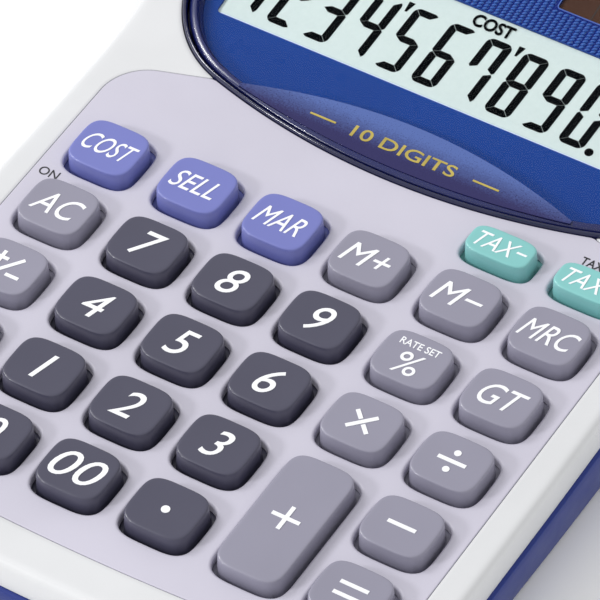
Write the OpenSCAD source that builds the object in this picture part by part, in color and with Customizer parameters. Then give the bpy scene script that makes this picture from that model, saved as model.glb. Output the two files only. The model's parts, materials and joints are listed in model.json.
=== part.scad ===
// Desk calculator with a tilted display, sprung keys and a splash-proof case.
// Millimetres. X runs to the right, Y from the user's edge to the display, Z up.
// The origin is on the table, under the centre of the case.

/* [Case] */
// Overall length, from the user's edge to the display end
case_l = 168.5; // [166:0.5:171]
// Overall width, at the display end
case_w = 108.5; // [108:0.5:110]
// Overall height, at the display end
case_h = 33.4; // [33:0.1:36]
// Slope of the key field against the table, in degrees
key_tilt = 3; // [2.5:0.5:3.5]
// Further slope of the display against the key field, in degrees
display_tilt = 10.5; // [9.5:0.5:11]
// Wall of both shells
wall = 2.5; // [2:0.1:2.8]
// Height of the white band between the face and the joint of the shells
band_h = 4.75; // [4.4:0.05:4.8]

/* [Keys] */
// Distance between two key columns
key_pitch_x = 15; // [14.9:0.05:15.1]
// Distance between two key rows
key_pitch_y = 13.93; // [13.8:0.01:14]
// Extra gap outside the three digit columns
group_gap = 0.7; // [0.5:0.1:0.8]
// Width of a key's top face
key_top_w = 10.8; // [10:0.1:11]
// Depth of a key's top face
key_top_d = 9.6; // [9:0.1:9.8]
// How far a key stands above the face
key_rise = 2.25; // [2:0.05:2.5]
// How far a key goes down
key_travel = 1.5; // [1:0.1:1.5]

/* [Display] */
// Width of the screen's opening
screen_w = 82; // [78:0.5:83]
// Height of the screen's opening
screen_h = 18; // [16:0.1:18]
// Height of the solar cell's opening
solar_h = 11.4; // [9:0.1:12]

// How far the display's rim stands above the face
display_proud = 0.6; // [0.3:0.1:0.8]

/* [Hidden] */
NODES = [
    "upper_case", "lower_case", "key_panel", "case_seal", "case_screws", "rubber_feet",
    "display_frame", "display_window", "display_backing", "crescent_trim", "window_gasket",
    "lcd_glass", "lcd_reflector", "lcd_holder", "solar_cell", "display_ribbon", "solar_leads",
    "rubber_key_mat", "main_board", "controller_chip", "board_components", "board_screws",
    "button_cell", "battery_contact_positive", "battery_contact_negative", "battery_leads",
    "battery_cover", "battery_cover_seal", "battery_cover_screws",
    "key_cost", "key_sell", "key_mar", "key_memory_plus", "key_memory_minus",
    "key_memory_recall", "key_all_clear", "key_7", "key_8", "key_9", "key_percent",
    "key_grand_total", "key_sign_change", "key_4", "key_5", "key_6", "key_multiply",
    "key_divide", "key_backspace", "key_1", "key_2", "key_3", "key_plus", "key_minus",
    "key_clear", "key_0", "key_double_zero", "key_decimal", "key_equals", "key_tax_minus",
    "key_tax_plus"
];

// Places in the key field's own frame: x from the middle of the case, y from the
// row of the cost key towards the display, z from the panel's face.
fold_y = 19.5;               // where the face starts to rise
fold_r = 80;                 // radius of that bend
fold_end = fold_y + fold_r * sin(display_tilt);
fold_rise = fold_r * (1 - cos(display_tilt));
row0_y = -8.85;              // the cost row in the case's own frame
upper_inset = 0.5;           // the upper shell steps in from the lower one
back_y = case_l / 2 - upper_inset - row0_y;
top_y = (back_y + face_z(back_y) * sin(key_tilt)) / cos(key_tilt);
row0_z = case_h - top_y * sin(key_tilt) - face_z(top_y) * cos(key_tilt);
foot_h = 0.8;                // the feet stand this far below the floor of the case
floor_t = 2;
arc_step = 9;                // degrees between the points of an outline's arcs
big = 300;

// Stack of parts below the panel's face, as depths
panel_t = 1.6;
deck_t = 3;
collar_t = 4.4;
flange_top = 2;
flange_t = 0.8;
stem_end = 3.4;
dome_top = stem_end + key_travel + 0.1;
mat_top = 5.6;
board_top = 6.4;
board_t = 1.6;

// Stack below the display's face, as depths
window_t = 1.7;
backing_t = 0.4;
gasket_t = 0.5;
frame_t = 3;
cell_t = 1.1;

// --- the face's profile along Y -----------------------------------------------------------

// Height of the face over the key field's plane at y
function face_z(y) =
    y <= fold_y ? 0 :
    y <= fold_end ? fold_r - sqrt(fold_r * fold_r - pow(y - fold_y, 2)) :
    fold_rise + (y - fold_end) * tan(display_tilt);

bend_steps = 8;
profile_y = concat(
    [-big],
    [for (i = [0:bend_steps]) fold_y + (fold_end - fold_y) * i / bend_steps],
    [big]);

// Puts its children on the key field's plane
module on_key_plane() {
    translate([0, row0_y, row0_z]) rotate([key_tilt, 0, 0]) children();
}

// Puts its children on the display's plane, with y from the end of the bend
module on_display_plane() {
    on_key_plane() translate([0, fold_end, fold_rise]) rotate([display_tilt, 0, 0]) children();
}

// Everything between two depths below the face
module layer(top, bottom) {
    upper = [for (y = profile_y) [y, face_z(y) - top]];
    lower = [for (i = [len(profile_y) - 1:-1:0]) [profile_y[i], face_z(profile_y[i]) - bottom]];
    rotate([90, 0, 90]) linear_extrude(big, center = true) polygon(concat(upper, lower));
}

// --- outlines ----------------------------------------------------------------------------

function mirror_x(points) =
    concat(points, [for (i = [len(points) - 1:-1:0]) [-points[i][0], points[i][1]]]);

function arc_points(cx, cy, r, from, to) =
    let (n = ceil(abs(to - from) / arc_step))
    [for (i = [0:n]) let (a = from + (to - from) * i / n) [cx + r * cos(a), cy + r * sin(a)]];

function ease(t) = t <= 0 ? 0 : t >= 1 ? 1 : (1 - cos(180 * t)) / 2;

// The case: straight along the keys, a slight waist, then wider beside the display
key_half_w = 53.2;
waist_half_w = 52.8;
waist_y = 8;
flare_y = 46;
front_corner_r = 14;
back_corner_r = 17;
front_bow_r = 400;
back_bow_r = 320;

function case_half_w(y) =
    y < waist_y
        ? key_half_w - (key_half_w - waist_half_w) * ease((y + 36) / (waist_y + 36))
        : waist_half_w + (case_w / 2 - waist_half_w) * ease((y - waist_y) / (flare_y - waist_y));

function case_outline(inset) =
    let (
        fx = key_half_w - front_corner_r,
        front_sag = fx * fx / (2 * front_bow_r),
        bx = case_w / 2 - back_corner_r,
        back_sag = bx * bx / (2 * back_bow_r),
        fy = -case_l / 2 + front_sag + front_corner_r,
        by = case_l / 2 - back_sag - back_corner_r,
        front_a = atan(fx / front_bow_r),
        back_a = atan(bx / back_bow_r),
        front = [for (i = [0:3]) let (x = fx * i / 4)
            [x, -case_l / 2 + x * x / (2 * front_bow_r) + inset]],
        side = [for (i = [1:12]) let (y = fy + (by - fy) * i / 13)
            [case_half_w(y) - inset, y]],
        back = [for (i = [3:-1:0]) let (x = bx * i / 4)
            [x, case_l / 2 - x * x / (2 * back_bow_r) - inset]])
    mirror_x(concat(
        front,
        arc_points(fx, fy, front_corner_r - inset, -90 + front_a, 0),
        side,
        arc_points(bx, by, back_corner_r - inset, 0, 90 - back_a),
        back));

// The display field: a bowed lower edge, big lower corners and a nearly straight top
display_front_y = 16.8;
display_bow = 0.00467;       // rise of the lower edge per square millimetre of x
display_bow_x = 33;
display_low_r = 21.2;
display_top_y = 82.5;
display_top_r = 12;
display_half_w = 48;
display_top_bow_r = 300;

function display_outline(inset) =
    let (
        low_a = atan(2 * display_bow * display_bow_x),
        low_cx = display_bow_x - display_low_r * sin(low_a),
        low_cy = display_front_y + display_bow * pow(display_bow_x, 2) + display_low_r * cos(low_a),
        top_cx = display_half_w - display_top_r,
        top_sag = pow(top_cx, 2) / (2 * display_top_bow_r),
        top_cy = display_top_y - top_sag - display_top_r,
        top_a = atan(top_cx / display_top_bow_r))
    mirror_x(concat(
        [for (i = [0:7]) let (x = display_bow_x * i / 8)
            [x, display_front_y + display_bow * x * x + inset]],
        arc_points(low_cx, low_cy, display_low_r - inset, -90 + low_a, 0),
        arc_points(top_cx, top_cy, display_top_r - inset, 0, 90 - top_a),
        [for (i = [3:-1:0]) let (x = top_cx * i / 4)
            [x, display_top_y - x * x / (2 * display_top_bow_r) - inset]]));

// The key panel, before the display field is cut out of it
panel_half_w = 47.15;
panel_front_y = -67.4;
panel_front_r = 10;
panel_top_r = 8;
panel_top_cy = 11.5;
panel_top_a = 72;            // the corner's arc ends here and a straight edge goes on
shelf_w = 0.8;               // ledge of the upper shell that the panel lies on

function panel_outline(inset) =
    let (
        fx = panel_half_w - panel_front_r,
        sag = fx * fx / (2 * front_bow_r),
        tx = panel_half_w - panel_top_r,
        r = panel_top_r - inset,
        end_x = tx + r * cos(panel_top_a),
        end_y = panel_top_cy + r * sin(panel_top_a),
        run = end_x - 25)
    mirror_x(concat(
        [for (i = [0:3]) let (x = fx * i / 4)
            [x, panel_front_y + x * x / (2 * front_bow_r) + inset]],
        arc_points(fx, panel_front_y + sag + panel_front_r, panel_front_r - inset,
            -90 + atan(fx / front_bow_r), 0),
        arc_points(tx, panel_top_cy, r, 0, panel_top_a),
        [[25, end_y + run / tan(panel_top_a)]]));

module panel_shape(inset, seam) {
    difference() {
        polygon(panel_outline(inset));
        polygon(display_outline(-seam));
    }
}

// --- keys --------------------------------------------------------------------------------

key_points = 32;
key_power = 4;               // 2 is an ellipse, more is squarer
key_flare = 0.1;             // each side spreads this much from the top to the panel
key_gap = 0.7;               // between a key and its opening
flange_lap = 0.5;            // the flange reaches this far under the panel
tall_stretch = key_pitch_y;

tax_top_w = 10.6;
tax_top_d = 5.7;
tax_y = 11.8;

function column_x(c) =
    (c - 2.5) * key_pitch_x + (c < 1 ? -group_gap : c > 3 ? group_gap : 0);

function power_of(v) = sign(v) * pow(abs(v), 2 / key_power);

// A squared oval, w by d, with its two halves pulled apart by stretch
function key_outline(w, d, stretch) = [
    for (i = [0:key_points - 1])
        let (a = 360 * (i + 0.5) / key_points)
        [w / 2 * power_of(cos(a)), d / 2 * power_of(sin(a)) + sign(sin(a)) * stretch / 2]];

// The keys as they lie, from the cost row towards the user. The last row's gap is
// the lower half of the plus key.
KEY_GRID = [
    ["key_cost", "key_sell", "key_mar",
        "key_memory_plus", "key_memory_minus", "key_memory_recall"],
    ["key_all_clear", "key_7", "key_8", "key_9", "key_percent", "key_grand_total"],
    ["key_sign_change", "key_4", "key_5", "key_6", "key_multiply", "key_divide"],
    ["key_backspace", "key_1", "key_2", "key_3", "key_plus", "key_minus"],
    ["key_clear", "key_0", "key_double_zero", "key_decimal", "", "key_equals"]
];
TAX_KEYS = ["", "", "", "", "key_tax_minus", "key_tax_plus"];
TALL_KEYS = ["key_plus"];
BLUE_KEYS = ["key_cost", "key_sell", "key_mar"];
DARK_KEYS = ["key_7", "key_8", "key_9", "key_4", "key_5", "key_6", "key_1", "key_2", "key_3",
    "key_0", "key_double_zero", "key_decimal"];

function listed(name, names) = len([for (other = names) if (other == name) name]) > 0;
function is_tax(name) = listed(name, TAX_KEYS);
function key_cell(name) =
    [for (row = [0:4]) for (c = [0:5])
        if (KEY_GRID[row][c] == name || (row == 0 && TAX_KEYS[c] == name)) [c, row]][0];

KEY_NAMES = [for (name = NODES) if (key_cell(name) != undef) name];

function key_stretch(name) = listed(name, TALL_KEYS) ? tall_stretch : 0;
function key_x(name) = column_x(key_cell(name)[0]);
function key_y(name) =
    is_tax(name) ? tax_y : -key_pitch_y * key_cell(name)[1] - key_stretch(name) / 2;
function key_w(name) = is_tax(name) ? tax_top_w : key_top_w;
function key_d(name) = is_tax(name) ? tax_top_d : key_top_d;

function key_colour(name) =
    is_tax(name) ? [0.46, 0.75, 0.69] :
    listed(name, BLUE_KEYS) ? [0.53, 0.56, 0.78] :
    listed(name, DARK_KEYS) ? [0.39, 0.38, 0.44] :
    [0.62, 0.62, 0.67];

module key_shape(name, grow) {
    translate([key_x(name), key_y(name)])
        polygon(key_outline(key_w(name) + 2 * grow, key_d(name) + 2 * grow, key_stretch(name)));
}

// One slice of a key between two heights over the panel's face
module key_slice(name, grow, low, high) {
    translate([0, 0, low]) linear_extrude(high - low) key_shape(name, grow);
}

// Hollow cap with a flange that the panel holds down and a plunger over the mat's dome
module key(name) {
    edge = 0.4;
    thin = 0.02;
    hollow = -1.4;
    roof = 1.2;
    plunger_d = key_d(name) > 7 ? 5 : 3;
    on_key_plane() {
        difference() {
            union() {
                hull() {
                    key_slice(name, -edge, key_rise - thin, key_rise);
                    key_slice(name, 0, key_rise - edge - thin, key_rise - edge);
                    key_slice(name, key_flare, -thin, 0);
                }
                key_slice(name, key_flare, -flange_top, -thin);
                key_slice(name, key_flare + key_gap + flange_lap,
                    -flange_top - flange_t, -flange_top);
            }
            key_slice(name, hollow, -flange_top - flange_t - 1, key_rise - roof);
        }
        for (side = key_stretch(name) > 0 ? [-1, 1] : [0])
            translate([key_x(name), key_y(name) + side * key_stretch(name) / 2, -stem_end])
                cylinder(h = stem_end + key_rise - roof, d = plunger_d, $fn = 40);
    }
}

// --- shells ------------------------------------------------------------------------------

// Height over the table of a point on a depth below the face
function height_at(y, depth) = row0_z + y * sin(key_tilt) + (face_z(y) - depth) * cos(key_tilt);
function case_y(y, depth) = row0_y + y * cos(key_tilt) - (face_z(y) - depth) * sin(key_tilt);

// Screws that join the shells, in the key field's frame
CASE_SCREWS = [for (side = [-1, 1]) for (spot = [[45.5, -66.5], [47.5, 27.5], [45, 83.5]])
    [side * spot[0], spot[1]]];
boss_d = 6.4;
screw_d = 2.5;
screw_head_d = 4.8;
screw_head_t = 1.8;
screw_reach = 3.1;           // length of the screw above the joint of the shells
screw_grip = 3;              // plastic under the screw's head

module at_case_screws(depth) {
    for (spot = CASE_SCREWS)
        translate([spot[0], case_y(spot[1], depth), height_at(spot[1], depth)]) children();
}

module upper_case() {
    color([0.87, 0.875, 0.885]) {
        difference() {
            intersection() {
                linear_extrude(case_h + 10) polygon(case_outline(upper_inset));
                on_key_plane() layer(0, band_h);
            }
            // the hollow under the deck, with a collar left round the display
            difference() {
                linear_extrude(case_h + 10) polygon(case_outline(upper_inset + wall - 0.5));
                on_key_plane() layer(-20, deck_t);
                on_key_plane() intersection() {
                    linear_extrude(big, center = true) polygon(display_outline(-2));
                    layer(0, collar_t);
                }
                at_case_screws(band_h) cylinder(h = 20, d = boss_d, $fn = 40);
            }
            on_key_plane() {
                translate([0, 0, -panel_t]) linear_extrude(20) polygon(panel_outline(-0.1));
                linear_extrude(big, center = true) panel_shape(shelf_w, 1.2);
                intersection() {
                    linear_extrude(big, center = true) polygon(display_outline(-0.1));
                    layer(-20, frame_t);
                }
                linear_extrude(big, center = true) polygon(display_outline(2.5));
            }
            at_case_screws(band_h) translate([0, 0, -1])
                cylinder(h = screw_reach + 1.3, d = screw_d + 0.1, $fn = 32);
        }
    }
}

bay = [-25, 48];             // centre of the battery bay
bay_l = 40;
bay_w = 27;
bay_top = 12;
cover_l = 36;
cover_w = 23;
cover_t = 1.6;
cover_top = foot_h + 1.8;
well_l = 20;
well_w = 14;
well_top = 10.4;
cover_screw_x = 15.2;

FEET = [for (side = [-1, 1]) for (y = [-67, 67]) [side * 35, y]];
foot_d = 11;
foot_sunk = 0.6;

SUPPORTS = [for (side = [-1, 1]) for (y = [-66.5, 20.5]) [side * 31, y]];

module lower_case() {
    color([0.16, 0.25, 0.52]) {
        difference() {
            union() {
                difference() {
                    intersection() {
                        linear_extrude(case_h + 10) polygon(case_outline(0));
                        on_key_plane() layer(band_h, 100);
                    }
                    translate([0, 0, foot_h + floor_t])
                        linear_extrude(case_h) polygon(case_outline(wall));
                }
                // posts for the screws that join the shells
                intersection() {
                    for (spot = CASE_SCREWS)
                        translate([spot[0], case_y(spot[1], band_h), foot_h])
                            cylinder(h = case_h, d = boss_d + 0.8, $fn = 40);
                    on_key_plane() layer(band_h, 100);
                    linear_extrude(case_h) polygon(case_outline(0.5));
                }
                // posts under the circuit board
                for (spot = SUPPORTS)
                    translate([spot[0], case_y(spot[1], board_top), foot_h])
                        cylinder(h = height_at(spot[1], board_top + board_t) - foot_h - 0.2,
                            d = 5.6, $fn = 40);
                // walls of the battery bay
                translate([bay[0] - bay_l / 2, bay[1] - bay_w / 2, foot_h])
                    cube([bay_l, bay_w, bay_top - foot_h]);
            }
            // everything below the floor
            translate([-big / 2, -big / 2, foot_h - 100]) cube([big, big, 100]);
            // groove for the seal
            on_key_plane() intersection() {
                translate([0, -row0_y, 0]) linear_extrude(big, center = true) seal_shape();
                layer(band_h - 1, band_h + 0.8);
            }
            // screw holes with deep counterbores
            for (spot = CASE_SCREWS)
                translate([spot[0], case_y(spot[1], band_h), 0]) {
                    cylinder(h = case_h, d = screw_d + 0.4, $fn = 32);
                    translate([0, 0, -1])
                        cylinder(h = height_at(spot[1], band_h) - screw_grip + 1,
                            d = screw_head_d + 0.6, $fn = 40);
                }
            for (spot = SUPPORTS)
                translate([spot[0], case_y(spot[1], board_top), foot_h + floor_t - 0.5])
                    cylinder(h = case_h, d = 1.9, $fn = 32);
            for (spot = FEET)
                translate([spot[0], spot[1], 0])
                    cylinder(h = foot_h + foot_sunk, d = foot_d + 0.2, $fn = 48);
            // battery door, its seal, its screws and the cell's well
            translate([bay[0], bay[1], 0]) {
                translate([0, 0, cover_top / 2]) cube([cover_l, cover_w, cover_top], center = true);
                linear_extrude(well_top) square([well_l, well_w], center = true);
                linear_extrude(cover_top + 1) cover_seal_shape();
                for (side = [-1, 1])
                    translate([side * cover_screw_x, 0, 0]) cylinder(h = 8.5, d = 2.2, $fn = 32);
            }
        }
    }
}

module seal_shape() {
    difference() {
        polygon(case_outline(0.95));
        polygon(case_outline(1.75));
    }
}

module case_seal() {
    color([0.2, 0.2, 0.22])
        on_key_plane() intersection() {
            translate([0, -row0_y, 0]) linear_extrude(big, center = true) seal_shape();
            layer(band_h, band_h + 0.8);
        }
}

module case_screws() {
    color("silver")
        for (spot = CASE_SCREWS)
            translate([spot[0], case_y(spot[1], band_h), height_at(spot[1], band_h)]) {
                difference() {
                    translate([0, 0, -screw_grip - screw_head_t])
                        cylinder(h = screw_head_t, d = screw_head_d, $fn = 40);
                    for (turn = [0, 90]) rotate([0, 0, turn])
                        translate([0, 0, -screw_grip - screw_head_t])
                            cube([2.8, 0.7, 1.6], center = true);
                }
                translate([0, 0, -screw_grip])
                    cylinder(h = screw_grip + screw_reach, d = screw_d, $fn = 32);
            }
}

module rubber_feet() {
    color([0.18, 0.18, 0.19])
        for (spot = FEET)
            translate([spot[0], spot[1], 0]) cylinder(h = foot_h + foot_sunk, d = foot_d, $fn = 48);
}

module key_panel() {
    color([0.80, 0.79, 0.84])
        on_key_plane() difference() {
            translate([0, 0, -panel_t]) linear_extrude(panel_t) panel_shape(0, 0.1);
            for (name = KEY_NAMES)
                translate([0, 0, -panel_t - 1]) linear_extrude(panel_t + 2)
                    key_shape(name, key_flare + key_gap);
        }
}

// --- display -----------------------------------------------------------------------------

screen_y = 0.25;             // lower edge of the screen on the display's plane
solar_x = 6.5;
solar_y = 23.6;
solar_w = screen_w / 2 - solar_x;

// A part of the display field: an outline between two depths below the face
module display_layer(inset, top, bottom) {
    intersection() {
        linear_extrude(big, center = true) polygon(display_outline(inset));
        layer(top, bottom);
    }
}

module display_openings() {
    on_display_plane() {
        translate([-screen_w / 2, screen_y, -20]) cube([screen_w, screen_h, 40]);
        translate([solar_x, solar_y, -20]) cube([solar_w, solar_h, 40]);
    }
}

module display_frame() {
    color([0.10, 0.17, 0.42])
        on_key_plane() difference() {
            display_layer(0, -display_proud, frame_t);
            display_layer(0.9, -2, window_t + gasket_t);
            linear_extrude(big, center = true) polygon(display_outline(3));
        }
}

window_proud = display_proud - 0.15;
trim_t = 0.3;
trim_half_w = 30;
trim_low_y = 18.9;
trim_high_y = 27.6;
trim_tip_y = 22.3;

// A crescent between two bows that meet at its tips
module crescent_shape() {
    steps = 14;
    polygon(concat(
        [for (i = [-steps:steps]) let (t = i / steps)
            [t * trim_half_w, trim_low_y + (trim_tip_y - trim_low_y) * t * t]],
        [for (i = [steps - 1:-1:1 - steps]) let (t = i / steps)
            [t * trim_half_w, trim_high_y - (trim_high_y - trim_tip_y) * t * t]]));
}

module display_window() {
    color([0.22, 0.35, 0.68, 0.6])
        on_key_plane() difference() {
            display_layer(1, -window_proud, window_t);
            intersection() {
                linear_extrude(big, center = true) crescent_shape();
                layer(-2, trim_t - window_proud);
            }
        }
}

module crescent_trim() {
    color([0.16, 0.18, 0.45])
        on_key_plane() intersection() {
            linear_extrude(big, center = true) crescent_shape();
            layer(-window_proud, trim_t - window_proud);
        }
}

module display_backing() {
    color([0.18, 0.30, 0.62])
        difference() {
            on_key_plane() display_layer(2.7, window_t, window_t + backing_t);
            display_openings();
        }
}

module window_gasket() {
    color([0.15, 0.15, 0.17])
        on_key_plane() difference() {
            display_layer(1, window_t, window_t + gasket_t);
            linear_extrude(big, center = true) polygon(display_outline(2.6));
        }
}

lcd_border = 1.1;
lcd_low = -1.2;              // lower edge of the glass on the display's plane
lcd_high = screen_y + screen_h + 2;
lcd_top = window_t + backing_t;
film_t = 0.2;

module lcd_glass() {
    color([0.84, 0.90, 0.88])
        on_display_plane() {
            translate([-screen_w / 2 - lcd_border, lcd_low, -lcd_top - film_t - cell_t])
                cube([screen_w + 2 * lcd_border, lcd_high - lcd_low, cell_t]);
            translate([-screen_w / 2 - 0.8, screen_y, -lcd_top - film_t])
                cube([screen_w + 1.6, screen_h + 0.8, film_t]);
        }
}

module lcd_reflector() {
    color("silver")
        on_display_plane()
            translate([-screen_w / 2 - 0.8, screen_y, -lcd_top - 2 * film_t - cell_t])
                cube([screen_w + 1.6, screen_h + 0.8, film_t]);
}

ribbon_half_w = 28;

module lcd_holder() {
    rim = 1.2;
    pocket_z = lcd_top + 2 * film_t + cell_t + 0.1;
    base_z = pocket_z + 1.2;
    half = screen_w / 2 + lcd_border + 0.15;
    low = lcd_low - 0.15;
    high = lcd_high + 0.15;
    color([0.75, 0.75, 0.76]) intersection() {
        on_display_plane() difference() {
            translate([-half - rim, low - rim, -base_z])
                cube([2 * (half + rim), high - low + 2 * rim, base_z - lcd_top - 0.3]);
            translate([-half, low, -pocket_z]) cube([2 * half, high - low, 10]);
            // the ribbon leaves over this low stretch of the wall
            translate([-ribbon_half_w - 1, low - 5, -pocket_z]) cube([2 * ribbon_half_w + 2, 6, 10]);
        }
        // clear of the display's big front corners
        on_key_plane() linear_extrude(big, center = true) polygon(display_outline(3.3));
    }
}

module solar_cell() {
    color([0.30, 0.20, 0.16])
        on_display_plane() translate([solar_x - 1, solar_y - 0.7, -lcd_top - cell_t])
            cube([solar_w + 2, solar_h + 1.7, cell_t]);
}

// A strip of thickness t along a route in a plane, as one outline
function along(route, i) =
    let (run = route[min(i + 1, len(route) - 1)] - route[max(i - 1, 0)]) run / norm(run);
function strip(route, t) =
    let (side = [for (i = [0:len(route) - 1])
        let (a = along(route, i)) [-a[1], a[0]] * t / 2])
    concat(
        [for (i = [0:len(route) - 1]) route[i] + side[i]],
        [for (i = [len(route) - 1:-1:0]) route[i] - side[i]]);

// A route in the plane across x, made w wide and t thick; its points are [y, z]
module strip_at(x, route, w, t) {
    translate([x, 0, 0]) rotate([90, 0, 90])
        linear_extrude(w, center = true) polygon(strip(route, t));
}

// Side view of the ribbon in the key field's frame, from the board up to the glass
RIBBON = [[20.5, -6.2], [23.5, -6.15], [26.5, -5.5], [29.5, -3.6], [31.9, -2.62], [34.6, -2.12]];
ribbon_t = 0.15;

module display_ribbon() {
    color([0.75, 0.60, 0.30]) on_key_plane() strip_at(0, RIBBON, 2 * ribbon_half_w, ribbon_t);
}

// --- inside ------------------------------------------------------------------------------

mat_half_w = 43.4;

module rubber_key_mat() {
    dome_d = 6.4;
    color([0.85, 0.85, 0.83])
        on_key_plane() {
            translate([-mat_half_w, -63.4, -board_top])
                cube([2 * mat_half_w, 80.6, board_top - mat_top]);
            for (name = KEY_NAMES)
                for (side = key_stretch(name) > 0 ? [-1, 1] : [0])
                    translate([key_x(name), key_y(name) + side * key_stretch(name) / 2, -mat_top])
                        cylinder(h = mat_top - dome_top, d1 = dome_d, d2 = dome_d - 1, $fn = 40);
        }
}

module main_board() {
    half_w = 46.5;
    low = -69.5;
    high = 24;
    color([0.13, 0.42, 0.22])
        on_key_plane() difference() {
            translate([-half_w, low, -board_top - board_t])
                cube([2 * half_w, high - low, board_t]);
            for (side = [-1, 1]) {
                translate([side * half_w, low, -board_top - board_t - 1])
                    cylinder(h = board_t + 2, r = 11, $fn = 60);
                translate([side * half_w, high + 2, -board_top - board_t - 1])
                    cylinder(h = board_t + 2, r = 9, $fn = 60);
            }
            for (spot = SUPPORTS)
                translate([spot[0], spot[1], -board_top - board_t - 1])
                    cylinder(h = board_t + 2, d = 2.4, $fn = 32);
        }
}

module controller_chip() {
    color([0.08, 0.08, 0.09])
        on_key_plane() translate([8, -24, -board_top - board_t]) mirror([0, 0, 1]) {
            cylinder(h = 0.5, d = 14, $fn = 60);
            translate([0, 0, 0.5]) cylinder(h = 0.8, d1 = 12, d2 = 7, $fn = 60);
        }
}

module board_components() {
    color([0.55, 0.45, 0.30])
        on_key_plane() translate([0, 0, -board_top - board_t]) mirror([0, 0, 1]) {
            for (x = [-22, -16]) translate([x, 12, 0]) cylinder(h = 5, d = 4, $fn = 40);
            for (i = [0:3]) translate([-14 + 9 * i, -6, 0]) cube([2, 1.25, 0.6]);
            for (i = [0:2]) translate([2 + 8 * i, -40, 0]) cube([3.2, 1.6, 0.7]);
        }
}

module board_screws() {
    color("silver")
        for (spot = SUPPORTS)
            translate([spot[0], case_y(spot[1], board_top), height_at(spot[1], board_top)]) {
                difference() {
                    translate([0, 0, 0.15]) cylinder(h = 1.2, d = 3.6, $fn = 40);
                    for (turn = [0, 90]) rotate([0, 0, turn]) translate([0, 0, 1.2])
                        cube([2.2, 0.5, 0.9], center = true);
                }
                translate([0, 0, -3.8]) cylinder(h = 3.95, d = 1.8, $fn = 32);
            }
}

// Where each pair of leads meets the board, and where it starts
board_lead_y = 21.5;
solar_lead_y = 63;
solar_lead_x = 36;
lead_t = 0.8;

// The [y, z] of a point in the case, from its place on the face and its depth below it
function case_yz(y, depth) = [case_y(y, depth), height_at(y, depth)];

LEAD_END = case_yz(board_lead_y, board_top + board_t + lead_t / 2 + 0.5);

module solar_leads() {
    start = case_yz(solar_lead_y, lcd_top + cell_t + lead_t / 2 + 0.1);
    color([0.75, 0.12, 0.10])
        for (i = [0, 1])
            strip_at(solar_lead_x + 3 * i,
                [start, start + [-3, -2], start + [-5, -9], LEAD_END], lead_t, lead_t);
}

module battery_leads() {
    rest_z = bay_top + lead_t / 2 + 0.05;
    color([0.1, 0.1, 0.1])
        for (i = [0, 1])
            strip_at(bay[0] + 3 + 8 * i,
                [[bay[1], rest_z], [bay[1] - bay_w / 2 - 2, rest_z], LEAD_END], lead_t, lead_t);
}

cell_low = cover_top + 0.3;
cell_h = 5.4;
cell_d = 11.6;

module button_cell() {
    color("silver")
        translate([bay[0], bay[1], cell_low]) {
            cylinder(h = cell_h - 0.7, d = cell_d, $fn = 60);
            translate([0, 0, cell_h - 0.7]) cylinder(h = 0.7, d = 9.4, $fn = 60);
        }
}

contact_t = 0.3;

module battery_contact_positive() {
    color("gold")
        translate([bay[0] + cell_d / 2 + 0.15, bay[1] - 2.5, cell_low]) {
            cube([contact_t, 5, well_top - cell_low - 0.1]);
            translate([0, 0, well_top - cell_low - 0.1 - contact_t]) cube([3, 5, contact_t]);
        }
}

module battery_contact_negative() {
    color("gold")
        translate([bay[0] - 8.5, bay[1] - 2.5, cell_low + cell_h + 0.1]) {
            cube([12.5, 5, contact_t]);
            cube([contact_t, 5, well_top - cell_low - cell_h - 0.2]);
        }
}

module cover_seal_shape() {
    difference() {
        square([well_l + 4.4, well_w + 4.4], center = true);
        square([well_l + 2, well_w + 2], center = true);
    }
}

module battery_cover() {
    color([0.16, 0.25, 0.52])
        translate([bay[0], bay[1], cover_top - cover_t]) difference() {
            translate([-cover_l / 2 + 0.2, -cover_w / 2 + 0.2, 0])
                cube([cover_l - 0.4, cover_w - 0.4, cover_t]);
            for (side = [-1, 1]) translate([side * cover_screw_x, 0, -1]) {
                cylinder(h = 4, d = 2.4, $fn = 32);
                cylinder(h = 1.9, d = 4.2, $fn = 40);
            }
        }
}

module battery_cover_seal() {
    color([0.2, 0.2, 0.22])
        translate([bay[0], bay[1], cover_top]) linear_extrude(1) cover_seal_shape();
}

module battery_cover_screws() {
    color("silver")
        for (side = [-1, 1])
            translate([bay[0] + side * cover_screw_x, bay[1], cover_top - cover_t]) {
                difference() {
                    cylinder(h = 0.85, d = 3.9, $fn = 40);
                    for (turn = [0, 90]) rotate([0, 0, turn]) cube([2.2, 0.5, 0.9], center = true);
                }
                translate([0, 0, 0.85]) cylinder(h = 5.5, d = 2, $fn = 32);
            }
}

// --- the nodes ---------------------------------------------------------------------------

upper_case();
lower_case();
key_panel();
case_seal();
case_screws();
rubber_feet();
display_frame();
display_window();
display_backing();
crescent_trim();
window_gasket();
lcd_glass();
lcd_reflector();
lcd_holder();
solar_cell();
display_ribbon();
solar_leads();
rubber_key_mat();
main_board();
controller_chip();
board_components();
board_screws();
button_cell();
battery_contact_positive();
battery_contact_negative();
battery_leads();
battery_cover();
battery_cover_seal();
battery_cover_screws();
for (name = KEY_NAMES)
    color(key_colour(name)) key(name);
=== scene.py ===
# %% [markdown]
# # Dressing a desk calculator
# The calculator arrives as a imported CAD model: two shells, a key panel, a display and
# 31 keys that each slide on their own joint. This notebook builds the visible skin of
# each moulding around that model and gives every part its finish. The CAD model stays
# where it is, so everything below takes its place from it.

import json
import math

import bmesh
import bpy
import numpy as np
from mathutils import Matrix, Vector

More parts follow.
